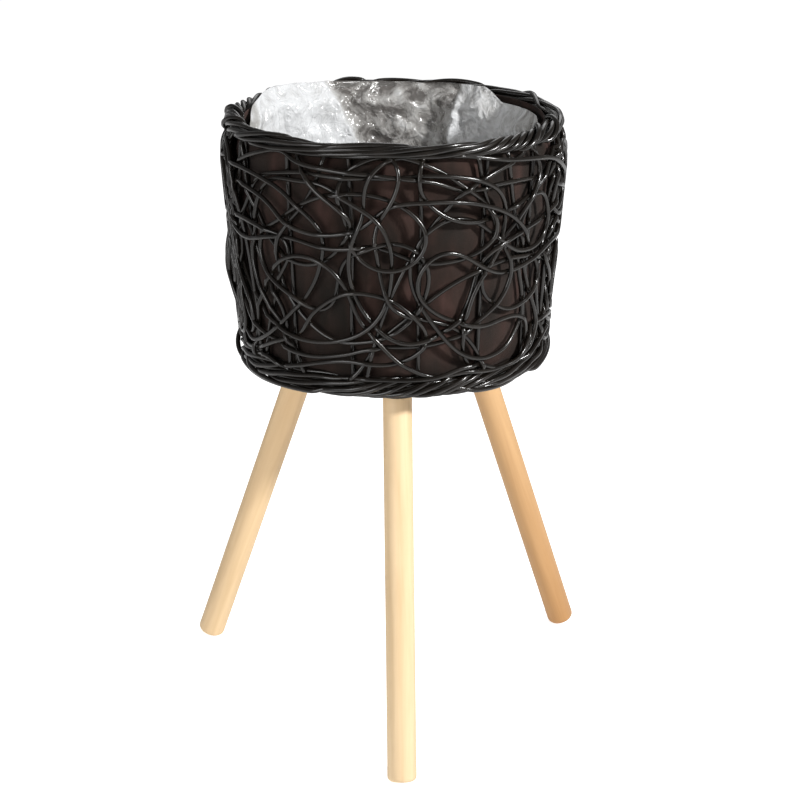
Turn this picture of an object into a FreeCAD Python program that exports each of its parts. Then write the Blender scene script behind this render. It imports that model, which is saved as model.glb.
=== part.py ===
"""Nest-woven cane planter on three screw-in dowel legs.

Frame: millimetres, +Z up, origin on the floor under the basket's axis, front leg towards -Y.
"""

import FreeCAD, Part
import math
import os

from FreeCAD import Placement, Rotation, Vector

# Overall sizes
OVERALL_HEIGHT = 465.0
BASKET_HEIGHT = 185.0
RIM_OUTER_DIAMETER = 250.0
FOOT_RIM_OUTER_DIAMETER = 233.0

# Canes are faceted: this many sides, along straight runs mitred where they meet
CANE_SIDES = 6

# Rims: canes wound round a ring core
RIM_CORE_DIAMETER = 5.2
RIM_CORE_RUNS = 48
RIM_CANE_DIAMETER = 3.2
RIM_WIND_GAP = 0.3
RIM_WIND_STEPS = 6
RIM_CANE_END_GAP = 4.0
RIM_CANES = 4
TOP_RIM_TWISTS = 6
FOOT_RIM_TWISTS = 6

# Upright stakes of the wall
STAKE_COUNT = 15
STAKE_FIRST_BEARING = -81.0
STAKE_DIAMETER = 3.0
STAKE_SEAT_GAP = 0.3

# Nest weave outside the stakes
CANE_DIAMETER = 3.0
CANE_GAP = 0.8
CANE_RUN = 16.0
CANE_REST_GAP = 0.6
RUN_SAMPLES = 8
WEAVE_ROUNDS = 120
SETTLING_SHARE = 0.7
SETTLE_SHARE = 0.05
LAYER_SHARE = 1.0
LOOP_SWAY_SHARE = 0.16
LOOP_SWAY_RATE = 0.73
# One row for each cane: its loops, then the loop's half width as a share of its pitch, its half
# height and middle as shares of the weave's height, and its start as a share of a turn
CANE_LOOP_SHARES = (
    (8, 0.46, 0.21, 0.25, 0.00),
    (8, 0.44, 0.21, 0.74, 0.20),
    (7, 0.44, 0.33, 0.50, 0.41),
    (8, 0.46, 0.21, 0.25, 0.06),
    (8, 0.44, 0.21, 0.74, 0.26),
)

# Base board, inside the stakes and on the foot rim
BOARD_THICKNESS = 10.0
BOARD_EDGE_GAP = 0.5
BOARD_SEAT_GAP = 0.3

# Cloth lining against the stakes
LINING_THICKNESS = 1.2
LINING_GAP = 0.3
LINING_FOLD_SHARE = 0.012

# Film liner, a folded bag that lifts out
FILM_THICKNESS = 0.5
FILM_CLEARANCE = 0.8
FILM_FLOOR_GAP = 0.3
FILM_TOP_BELOW_RIM = 4.0
FILM_FOLDS = 14
FILM_FOLD_SHARE = 0.045

# Legs
LEG_DIAMETER = 21.5
FOOT_CIRCLE_RADIUS = 165.15
LEG_BEARINGS = (-88.0, 34.0, 155.0)
LEG_FOOT_CHAMFER = 3.0
LEG_TOP_CHAMFER = 1.0

# Angled leg plates and their hanger bolts
PLATE_CIRCLE_SHARE = 0.5906
PLATE_SIDE = 42.0
PLATE_THICKNESS = 2.0
PLATE_CORNER_ROUND = 5.0
SEAT_DROP = 8.5
BOSS_DIAMETER = 17.0
BOLT_DIAMETER = 8.0
BOLT_EXPOSED = 15.0
BOLT_WOOD_DIAMETER = 7.0
BOLT_WOOD_LENGTH = 30.0
BOLT_CLEARANCE = 0.12
BOLT_POCKET_CLEARANCE = 0.8

OVERRUN = 5.0

# Worked-out sizes: rims
RIM_RUN_RADIUS = RIM_CORE_DIAMETER / 2 + RIM_WIND_GAP + RIM_CANE_DIAMETER / 2
RIM_WIND_RADIUS = RIM_RUN_RADIUS / math.cos(math.pi / RIM_WIND_STEPS)
RIM_ROLL_RADIUS = RIM_WIND_RADIUS + RIM_CANE_DIAMETER / 2
BASKET_BOTTOM = OVERALL_HEIGHT - BASKET_HEIGHT
TOP_RING_RADIUS = RIM_OUTER_DIAMETER / 2 - RIM_ROLL_RADIUS
TOP_RING_HEIGHT = OVERALL_HEIGHT - RIM_ROLL_RADIUS
FOOT_RING_RADIUS = FOOT_RIM_OUTER_DIAMETER / 2 - RIM_ROLL_RADIUS
FOOT_RING_HEIGHT = BASKET_BOTTOM + RIM_ROLL_RADIUS

# Worked-out sizes: base, wall and lining heights
BOARD_BOTTOM = BASKET_BOTTOM + 2 * RIM_ROLL_RADIUS + BOARD_SEAT_GAP
BOARD_TOP = BOARD_BOTTOM + BOARD_THICKNESS
WALL_BOTTOM = BASKET_BOTTOM + 2 * RIM_ROLL_RADIUS + STAKE_SEAT_GAP
WALL_TOP = OVERALL_HEIGHT - 2 * RIM_ROLL_RADIUS - STAKE_SEAT_GAP
WALL_LEAN = (TOP_RING_RADIUS - FOOT_RING_RADIUS) / (TOP_RING_HEIGHT - FOOT_RING_HEIGHT)

# Worked-out sizes: weave band
CANE_SPACING = CANE_DIAMETER + CANE_GAP
WEAVE_LOW = BASKET_BOTTOM + 2 * RIM_ROLL_RADIUS + CANE_SPACING / 2
WEAVE_HIGH = OVERALL_HEIGHT - 2 * RIM_ROLL_RADIUS - CANE_SPACING / 2
WEAVE_HEIGHT = WEAVE_HIGH - WEAVE_LOW

# Worked-out sizes: leg line, from the centre of the foot's end to the seat on the plate.
# The foot rests on its inner edge, and the line runs from there to the plate's place on the board
PLATE_RADIUS = FOOT_RING_RADIUS * PLATE_CIRCLE_SHARE
FOOT_END_RADIUS = LEG_DIAMETER / 2 - LEG_FOOT_CHAMFER
LEG_REACH = FOOT_CIRCLE_RADIUS - PLATE_RADIUS
LEG_SLOPE = math.atan2(LEG_REACH, BOARD_BOTTOM)
LEG_SPLAY = LEG_SLOPE + math.asin(FOOT_END_RADIUS / math.hypot(LEG_REACH, BOARD_BOTTOM))
FOOT_CENTRE_RADIUS = FOOT_CIRCLE_RADIUS + FOOT_END_RADIUS * math.cos(LEG_SPLAY)
FOOT_END_HEIGHT = FOOT_END_RADIUS * math.sin(LEG_SPLAY)
SEAT_HEIGHT = BOARD_BOTTOM - SEAT_DROP
LEG_LENGTH = (SEAT_HEIGHT - FOOT_END_HEIGHT) / math.cos(LEG_SPLAY)

# Worked-out sizes: pockets in the board, clear of the leaning bolts all round
BOLT_TOP = SEAT_HEIGHT + BOLT_EXPOSED * math.cos(LEG_SPLAY) + BOLT_DIAMETER / 2 * math.sin(LEG_SPLAY)
BOLT_POCKET_DEPTH = BOLT_TOP + BOLT_POCKET_CLEARANCE - BOARD_BOTTOM
BOLT_POCKET_LEAN = BOLT_POCKET_DEPTH * math.tan(LEG_SPLAY)
BOLT_POCKET_WIDTH = BOLT_DIAMETER / math.cos(LEG_SPLAY) + BOLT_POCKET_LEAN + 2 * BOLT_POCKET_CLEARANCE

UP = Vector(0, 0, 1)


def polar(radius, bearing, height):
    """The point at a radius, a bearing in radians and a height."""
    return Vector(radius * math.cos(bearing), radius * math.sin(bearing), height)


def stake_radius(height):
    """Radius of the stakes' centre lines, which lean out from ring to ring."""
    return FOOT_RING_RADIUS + (height - FOOT_RING_HEIGHT) * WALL_LEAN


def weave_radius(height):
    """Radius of a cane's centre where it lies straight on the stakes."""
    return stake_radius(height) + STAKE_DIAMETER / 2 + CANE_REST_GAP + CANE_DIAMETER / 2


def cane(points, diameter, closed=False):
    """A faceted cane along straight runs, mitred where two runs meet."""
    count = len(points)
    runs = [(points[(i + 1) % count] - points[i]).normalize() for i in range(count if closed else count - 1)]
    across = runs[0].cross(UP if abs(runs[0].z) < 0.9 else Vector(1, 0, 0)).normalize()
    beside = runs[0].cross(across)
    turns = [2 * math.pi * k / CANE_SIDES for k in range(CANE_SIDES)]
    corners = [points[0] + (across * math.cos(t) + beside * math.sin(t)) * (diameter / 2) for t in turns]
    rings = [mitred(corners, runs[0], points[0], runs[0] + runs[-1] if closed else runs[0])]
    for i, run in enumerate(runs):
        onward = runs[(i + 1) % len(runs)] if closed or i + 1 < len(runs) else run
        rings.append(mitred(rings[-1], run, points[(i + 1) % count], run + onward))
    faces = [] if closed else [polygon_face(rings[0]), polygon_face(rings[-1])]
    for near, far in zip(rings, rings[1:]):
        for k in range(CANE_SIDES):
            faces.append(polygon_face([near[k - 1], near[k], far[k], far[k - 1]]))
    return Part.Solid(Part.Shell(faces))


def mitred(corners, run, place, normal):
    """The corners carried along a run to the plane of a mitre."""
    return [p + run * ((place - p).dot(normal) / run.dot(normal)) for p in corners]


def polygon_face(corners):
    return Part.Face(Part.makePolygon(corners + corners[:1]))


def ring_core(radius, height):
    """The ring that a rim's canes are wound on."""
    turns = [2 * math.pi * i / RIM_CORE_RUNS for i in range(RIM_CORE_RUNS)]
    return cane([polar(radius, turn, height) for turn in turns], RIM_CORE_DIAMETER, closed=True)


def rim_cane(radius, height, twists, phase):
    """One cane wound round a ring core, with its two ends a little apart."""
    span = 2 * math.pi - RIM_CANE_END_GAP / radius
    steps = RIM_WIND_STEPS * twists
    points = []
    for i in range(steps + 1):
        bearing = span * i / steps
        wind = phase + twists * bearing
        out = RIM_WIND_RADIUS * math.cos(wind)
        points.append(polar(radius + out, bearing, height + RIM_WIND_RADIUS * math.sin(wind)))
    return cane(points, RIM_CANE_DIAMETER)


def stake_line(bearing, low, high):
    """The two ends of a stake's centre line between two heights."""
    return [polar(stake_radius(low), bearing, low), polar(stake_radius(high), bearing, high)]


def stake_bearings():
    first = math.radians(STAKE_FIRST_BEARING)
    return [first + 2 * math.pi * i / STAKE_COUNT for i in range(STAKE_COUNT)]


def wall_stakes():
    lines = [stake_line(bearing, WALL_BOTTOM, WALL_TOP) for bearing in stake_bearings()]
    return Part.makeCompound([cane(line, STAKE_DIAMETER) for line in lines])


def cane_route(index):
    """A looping cane's places on the wall, a run apart: bearing, height and which way it leans."""
    loops, width_share, height_share, middle_share, start_share = CANE_LOOP_SHARES[index]
    span = 2 * math.pi - 2 * CANE_SPACING / weave_radius(WEAVE_LOW)
    half_width = width_share * span / loops
    sense = 1 if index % 2 else -1
    fine = 400 * loops
    places, passed, previous = [], CANE_RUN, None
    for i in range(fine + 1):
        turn = 2 * math.pi * loops * i / fine
        sway = 1 + LOOP_SWAY_SHARE * math.sin(LOOP_SWAY_RATE * turn + index)
        bearing = 2 * math.pi * start_share + span * i / fine + half_width * sway * math.sin(turn)
        height = WEAVE_LOW + WEAVE_HEIGHT * (middle_share + sense * height_share * sway * math.cos(turn))
        here = polar(weave_radius(height), bearing, height)
        passed += (here - previous).Length if previous else 0
        previous = here
        if passed >= CANE_RUN:
            passed = 0
            places.append((bearing, height, math.sin(turn)))
    return places


def sampled(points):
    """Points along the straight runs between a cane's knots."""
    steps = [k / RUN_SAMPLES for k in range(RUN_SAMPLES)]
    return [near + (far - near) * step for near, far in zip(points, points[1:]) for step in steps]


def close_samples(lines, reach):
    """Pairs of samples nearer than reach, leaving out neighbours along one cane."""
    own = int(3 * CANE_SPACING / CANE_RUN * RUN_SAMPLES)
    beside = (-1, 0, 1)
    grid = {}
    pairs = []
    for s, points in enumerate(lines):
        for i, p in enumerate(points):
            x, y, z = int(p.x // reach), int(p.y // reach), int(p.z // reach)
            cells = [(x + a, y + b, z + c) for a in beside for b in beside for c in beside]
            for t, j in [sample for cell in cells for sample in grid.get(cell, ())]:
                apart = (p - lines[t][j]).Length
                if apart < reach and (s != t or i - j >= own):
                    pairs.append((s, t, i, j, apart))
            grid.setdefault((x, y, z), []).append((s, i))
    return sorted(pairs)


def crossings(lines, leans):
    """Meeting samples with the cane on top first and the lift that parts them, one order a crossing."""
    groups = {}
    for pair in close_samples(lines, CANE_SPACING):
        s, t, i, j, _ = pair
        known = groups.setdefault((s, t), [])
        for group in reversed(known):
            if abs(group[-1][2] - i) <= RUN_SAMPLES and abs(group[-1][3] - j) <= RUN_SAMPLES:
                group.append(pair)
                break
        else:
            known.append([pair])
    ordered = []
    for group in [group for known in groups.values() for group in known]:
        lead = [leans[s][i // RUN_SAMPLES] - leans[t][j // RUN_SAMPLES] for s, t, i, j, _ in group]
        s, t = group[0][:2]
        over = sum(lead) + LAYER_SHARE * (s - t) * len(lead) > 0
        for s, t, i, j, apart in group:
            lift = math.sqrt(CANE_SPACING**2 - apart**2)
            ordered.append((s, i, t, j, lift) if over else (t, j, s, i, lift))
    return ordered


def lift_at(row, sample):
    """A cane's lift at a sample, between the lifts of its two knots."""
    knot, step = divmod(sample, RUN_SAMPLES)
    return row[knot] + (row[knot + 1] - row[knot]) * step / RUN_SAMPLES


def raise_at(row, sample, lift):
    """Changes the two knots beside a sample so that it rises by lift; none sinks into the stakes."""
    knot, step = divmod(sample, RUN_SAMPLES)
    far = step / RUN_SAMPLES
    near = 1 - far
    row[knot] = max(row[knot] + lift * near / (near**2 + far**2), 0)
    row[knot + 1] = max(row[knot + 1] + lift * far / (near**2 + far**2), 0)


def settled_lifts(lines, leans):
    """How far each knot stands off the stakes, so that canes pass over and under each other."""
    pairs = crossings(lines, leans)
    lifts = [[0 for _ in row] for row in leans]
    for turn in range(WEAVE_ROUNDS):
        for s, i, t, j, lift in pairs:
            short = lift - (lift_at(lifts[s], i) - lift_at(lifts[t], j))
            if short > 0:
                down = min(short / 2, lift_at(lifts[t], j))
                raise_at(lifts[t], j, -down)
                raise_at(lifts[s], i, short - down)
        if turn < WEAVE_ROUNDS * SETTLING_SHARE:
            lifts = [[lift * (1 - SETTLE_SHARE) for lift in row] for row in lifts]
    return lifts


def weave_lines():
    """The knots of the wall's looping canes, lifted over and under each other."""
    routes = [cane_route(i) for i in range(len(CANE_LOOP_SHARES))]
    flat = [sampled([polar(weave_radius(h), b, h) for b, h, _ in route]) for route in routes]
    lifts = settled_lifts(flat, [[lean for _, _, lean in route] for route in routes])
    return [
        [polar(weave_radius(h) + lift, b, h) for (b, h, _), lift in zip(route, row)]
        for route, row in zip(routes, lifts)
    ]


def weave_canes():
    lines = weave_lines()
    near = close_samples([sampled(line) for line in lines], 2 * CANE_SPACING)
    print("weave: least gap", round(min(pair[-1] for pair in near) - CANE_DIAMETER, 2))
    return [cane(line, CANE_DIAMETER) for line in lines]


def leg_place(bearing):
    """Carries a shape drawn along +Z from the foot's end onto a leg's line."""
    foot = Vector(FOOT_CENTRE_RADIUS, 0, FOOT_END_HEIGHT)
    lean = Placement(foot, Rotation(Vector(0, 1, 0), -math.degrees(LEG_SPLAY)))
    return Placement(Vector(), Rotation(UP, bearing)).multiply(lean)


def placed(shape, placement):
    return shape.transformed(placement.toMatrix())


def turned(shape, bearing):
    return placed(shape, Placement(Vector(), Rotation(UP, bearing)))


def on_axis(diameter, low, high):
    """A cylinder on a leg's own axis between two distances from the foot's end."""
    return Part.makeCylinder(diameter / 2, high - low, Vector(0, 0, low))


def leg():
    """A square-cut dowel with eased ends and a pilot hole for its hanger bolt."""
    dowel = on_axis(LEG_DIAMETER, 0, LEG_LENGTH)
    for chamfer, height in ((LEG_FOOT_CHAMFER, 0), (LEG_TOP_CHAMFER, LEG_LENGTH)):
        rim = [e for e in dowel.Edges if e.isClosed() and abs(e.CenterOfMass.z - height) < LEG_TOP_CHAMFER / 2]
        dowel = dowel.makeChamfer(chamfer, rim)
    pilot = BOLT_WOOD_DIAMETER + 2 * BOLT_CLEARANCE
    return dowel.cut(on_axis(pilot, LEG_LENGTH - BOLT_WOOD_LENGTH, LEG_LENGTH + OVERRUN))


def hanger_bolt():
    """A machine-threaded shank above the leg and a wood-threaded one inside it."""
    shank = on_axis(BOLT_DIAMETER, LEG_LENGTH, LEG_LENGTH + BOLT_EXPOSED)
    wood = on_axis(BOLT_WOOD_DIAMETER, LEG_LENGTH - BOLT_WOOD_LENGTH, LEG_LENGTH)
    return shank.fuse(wood).removeSplitter()


def leg_plate():
    """A flat plate with a boss square to the leg, bored for the bolt."""
    corner = Vector(PLATE_RADIUS - PLATE_SIDE / 2, -PLATE_SIDE / 2, BOARD_BOTTOM - PLATE_THICKNESS)
    plate = Part.makeBox(PLATE_SIDE, PLATE_SIDE, PLATE_THICKNESS, corner)
    upright = [e for e in plate.Edges if abs(e.tangentAt(e.FirstParameter).z) > 0.5]
    plate = plate.makeFillet(PLATE_CORNER_ROUND, upright)
    through = LEG_LENGTH + PLATE_SIDE
    boss = placed(on_axis(BOSS_DIAMETER, LEG_LENGTH, through), leg_place(0))
    bore = placed(on_axis(BOLT_DIAMETER + 2 * BOLT_CLEARANCE, LEG_LENGTH - OVERRUN, through), leg_place(0))
    half_above = Part.makeBox(through, through, through, Vector(0, -through / 2, BOARD_BOTTOM))
    return plate.fuse(boss.cut(half_above)).cut(bore).removeSplitter()


def base_board():
    """The round board, pocketed from below for the bolt ends."""
    radius = stake_radius(WALL_BOTTOM) - STAKE_DIAMETER / 2 - BOARD_EDGE_GAP
    board = Part.makeCylinder(radius, BOARD_THICKNESS, Vector(0, 0, BOARD_BOTTOM))
    centre = Vector(PLATE_RADIUS - BOLT_POCKET_LEAN / 2, 0, BOARD_BOTTOM)
    pocket = Part.makeCylinder(BOLT_POCKET_WIDTH / 2, BOLT_POCKET_DEPTH, centre)
    return board.cut([turned(pocket, bearing) for bearing in LEG_BEARINGS])


def lining_radius(height):
    """Radius of the lining's outer face where it lies behind a stake."""
    return stake_radius(height) - STAKE_DIAMETER / 2 - LINING_GAP


def folded_ring(folds, first, radius, fold_share, height):
    """Corners of a ring of flat folds: radius on the first bearing, larger by a share half way on."""
    corners = []
    for i in range(2 * folds):
        reach = radius * (1 + fold_share) if i % 2 else radius
        corners.append(polar(reach, first + math.pi * i / folds, height))
    return corners


def ring_walls(low, high):
    """The flat walls between two rings of corners."""
    return [polygon_face([low[i - 1], low[i], high[i], high[i - 1]]) for i in range(len(low))]


def cloth_lining():
    """Cloth drawn tight behind each stake and bulging a little between them."""
    first = stake_bearings()[0]
    rings = {}
    for height in (BOARD_TOP, WALL_TOP):
        for thickness in (0, LINING_THICKNESS):
            radius = lining_radius(height) - thickness
            rings[height, thickness] = folded_ring(STAKE_COUNT, first, radius, LINING_FOLD_SHARE, height)
    outside = [rings[BOARD_TOP, 0], rings[WALL_TOP, 0]]
    inside = [rings[WALL_TOP, LINING_THICKNESS], rings[BOARD_TOP, LINING_THICKNESS]]
    loop = outside + inside
    faces = [face for i in range(len(loop)) for face in ring_walls(loop[i - 1], loop[i])]
    return Part.Solid(Part.Shell(faces))


def film_liner():
    """The film bag: a flat floor and a folded wall that leans out to its mouth."""
    first = math.pi / FILM_FOLDS / 2
    floor = BOARD_TOP + FILM_FLOOR_GAP
    mouth = OVERALL_HEIGHT - 2 * RIM_ROLL_RADIUS - FILM_TOP_BELOW_RIM
    floor_radius = (lining_radius(BOARD_TOP) - LINING_THICKNESS - FILM_CLEARANCE) / (1 + FILM_FOLD_SHARE)
    mouth_radius = (TOP_RING_RADIUS - RIM_ROLL_RADIUS - FILM_CLEARANCE) / (1 + FILM_FOLD_SHARE)
    loop = [
        folded_ring(FILM_FOLDS, first, floor_radius, FILM_FOLD_SHARE, floor),
        folded_ring(FILM_FOLDS, first, mouth_radius, FILM_FOLD_SHARE, mouth),
        folded_ring(FILM_FOLDS, first, mouth_radius - FILM_THICKNESS, FILM_FOLD_SHARE, mouth),
        folded_ring(FILM_FOLDS, first, floor_radius - FILM_THICKNESS, FILM_FOLD_SHARE, floor + FILM_THICKNESS),
    ]
    faces = [polygon_face(loop[0]), polygon_face(loop[-1])]
    for low, high in zip(loop, loop[1:]):
        faces += ring_walls(low, high)
    return Part.Solid(Part.Shell(faces))


def rim_nodes(prefix, radius, height, twists):
    nodes = {prefix + "_core": ring_core(radius, height)}
    for i in range(RIM_CANES):
        nodes[f"{prefix}_cane_{i + 1}"] = rim_cane(radius, height, twists, 2 * math.pi * i / RIM_CANES)
    return nodes


def leg_nodes():
    nodes = {}
    for i, bearing in enumerate(LEG_BEARINGS, 1):
        place = leg_place(bearing)
        nodes[f"leg_{i}"] = placed(leg(), place)
        nodes[f"hanger_bolt_{i}"] = placed(hanger_bolt(), place)
        nodes[f"leg_plate_{i}"] = turned(leg_plate(), bearing)
    return nodes


def all_nodes():
    nodes = {"base_board": base_board(), "wall_stakes": wall_stakes()}
    nodes["cloth_lining"] = cloth_lining()
    nodes["film_liner"] = film_liner()
    for i, strand in enumerate(weave_canes(), 1):
        nodes[f"weave_cane_{i}"] = strand
    nodes.update(rim_nodes("top_rim", TOP_RING_RADIUS, TOP_RING_HEIGHT, TOP_RIM_TWISTS))
    nodes.update(rim_nodes("foot_rim", FOOT_RING_RADIUS, FOOT_RING_HEIGHT, FOOT_RIM_TWISTS))
    nodes.update(leg_nodes())
    return nodes


def main():
    os.makedirs("parts", exist_ok=True)
    for name, shape in all_nodes().items():
        shape.exportStep(f"parts/{name}.step")
        print(name, "valid" if shape.isValid() else "NOT VALID", len(shape.Solids), round(shape.Volume, 1))


main()
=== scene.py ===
"""Looks of the nest-woven cane planter on three dowel legs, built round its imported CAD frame."""

import math
import random

import bmesh
import bpy
import numpy as np
from mathutils import Matrix, Vector, kdtree, noise


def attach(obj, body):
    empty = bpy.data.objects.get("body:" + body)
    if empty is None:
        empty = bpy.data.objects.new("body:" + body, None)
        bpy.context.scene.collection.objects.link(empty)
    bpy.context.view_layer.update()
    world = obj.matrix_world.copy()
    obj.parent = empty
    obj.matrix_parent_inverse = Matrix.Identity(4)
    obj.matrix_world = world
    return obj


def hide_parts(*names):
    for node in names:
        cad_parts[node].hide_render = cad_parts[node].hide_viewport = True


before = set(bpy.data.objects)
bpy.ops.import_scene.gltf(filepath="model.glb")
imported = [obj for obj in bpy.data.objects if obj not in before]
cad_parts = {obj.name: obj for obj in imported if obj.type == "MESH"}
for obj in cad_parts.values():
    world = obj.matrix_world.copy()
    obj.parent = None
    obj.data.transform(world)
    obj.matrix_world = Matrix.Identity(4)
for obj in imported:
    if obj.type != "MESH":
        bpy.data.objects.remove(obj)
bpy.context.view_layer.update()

MM = 0.001
SEED = 11
FULL_TURN = 2 * math.pi

# Camera of the photograph, in metres, radians and pixels
IMAGE_SIZE = 800
CAMERA_PLACE = Vector((0.0045, -1.4196, 0.7542))
CAMERA_PITCH = 0.3494
FOCAL_PIXELS = 1950.6
SENSOR_WIDTH = 36.0

# Studio: glow of the floor and the world, as it lights and as the camera sees it, and the lights by name,
# place, aim, size and power
FLOOR_SIZE = 16
FLOOR_TONE = (0.7, 0.7, 0.7, 1)
FLOOR_ROUGHNESS = 0.9
FLOOR_GLOW = (0.36, 0.86)
WORLD_GLOW = (0.21, 1.0)
WHITE = (1, 1, 1, 1)
LIGHTS = (("key_light", (1.26, -0.93, 1.16), (0, 0, 0.38), 0.16, 38.0),
          ("front_light", (-1.1, -1.5, 0.6), (0, 0, 0.2), 0.9, 15.0),
          ("back_light", (0.2, 1.4, 1.5), (0, 0, 0.35), 1.2, 8.0))

# Basket sizes shared with the CAD frame
TOP_RING_RADIUS = 118.204 * MM
TOP_RING_HEIGHT = 458.204 * MM
FOOT_RING_RADIUS = 109.704 * MM
FOOT_RING_HEIGHT = 286.796 * MM
WALL_LEAN = (TOP_RING_RADIUS - FOOT_RING_RADIUS) / (TOP_RING_HEIGHT - FOOT_RING_HEIGHT)
WALL_BOTTOM = 293.892 * MM
WALL_TOP = 451.108 * MM
BOARD_TOP = 303.892 * MM

# Canes of the wall: their size, the gap kept where they cross, and their rest outside the stakes
CANE_DIAMETER = 3.4 * MM
CANE_GAP = 0.25 * MM
CANE_CLEAR = CANE_DIAMETER + CANE_GAP
CANE_REST = 3.4 * MM
CANE_STEP = 1.7 * MM
CANE_ROUNDNESS = 2
CANE_UNEVEN = 0.05
CANE_UNEVEN_SCALE = 60
WEAVE_LOW = 295.0 * MM
WEAVE_HIGH = 449.6 * MM
NEST_PIECES = 5

# How runs are linked into long canes, the dip of a link in layers, and how kinks are drawn out
LONGEST_LINK = 78.0 * MM
SHARPEST_LINK = 0.8
LINK_DIP = 1.5
RELAX_TURNS = 34
RELAX_LIFT_TURNS = 10
RELAX_SHARE = 0.24

# Where a cane is caught in the rims, and how it is led there
ROOT_LOW = 289.5 * MM
ROOT_HIGH = 455.0 * MM
ROOT_SINK = 1.0 * MM
ROOT_LEAD = 8.0 * MM
ROOT_SLOPE = 0.6
ROOT_SLANT = 0.3
LEVEL_WAY = 0.35

# How crossing canes are laid over and under each other: turns in all, last turns without smoothing, how many
# widths further along a cane may cross itself, and the steps along either cane to a new crossing
SETTLE_TURNS = 260
SETTLE_HARD_TURNS = 8
SETTLE_SMOOTHINGS = 3
SETTLE_EASE = 0.998
RAISE_SHARE = 0.55
LOWER_SHARE = 0.45
EVEN_VOTE = 0.05
OWN_LOOP = 3
CROSSING_STEPS = (4, 9)

# How far the weave may stand off its rest, by height: pairs of millimetres
LIFT_PROFILE = ((289, 0.6), (296, 3.2), (345, 4.4), (385, 5.6), (430, 6.6), (443, 5.2), (451, 2.2),
                (456, 0.6))

# Upright stakes
STAKE_COUNT = 15
STAKE_FIRST_BEARING = math.radians(-81)
STAKE_STEPS = 14
STAKE_DRIFT = 0.016

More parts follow.
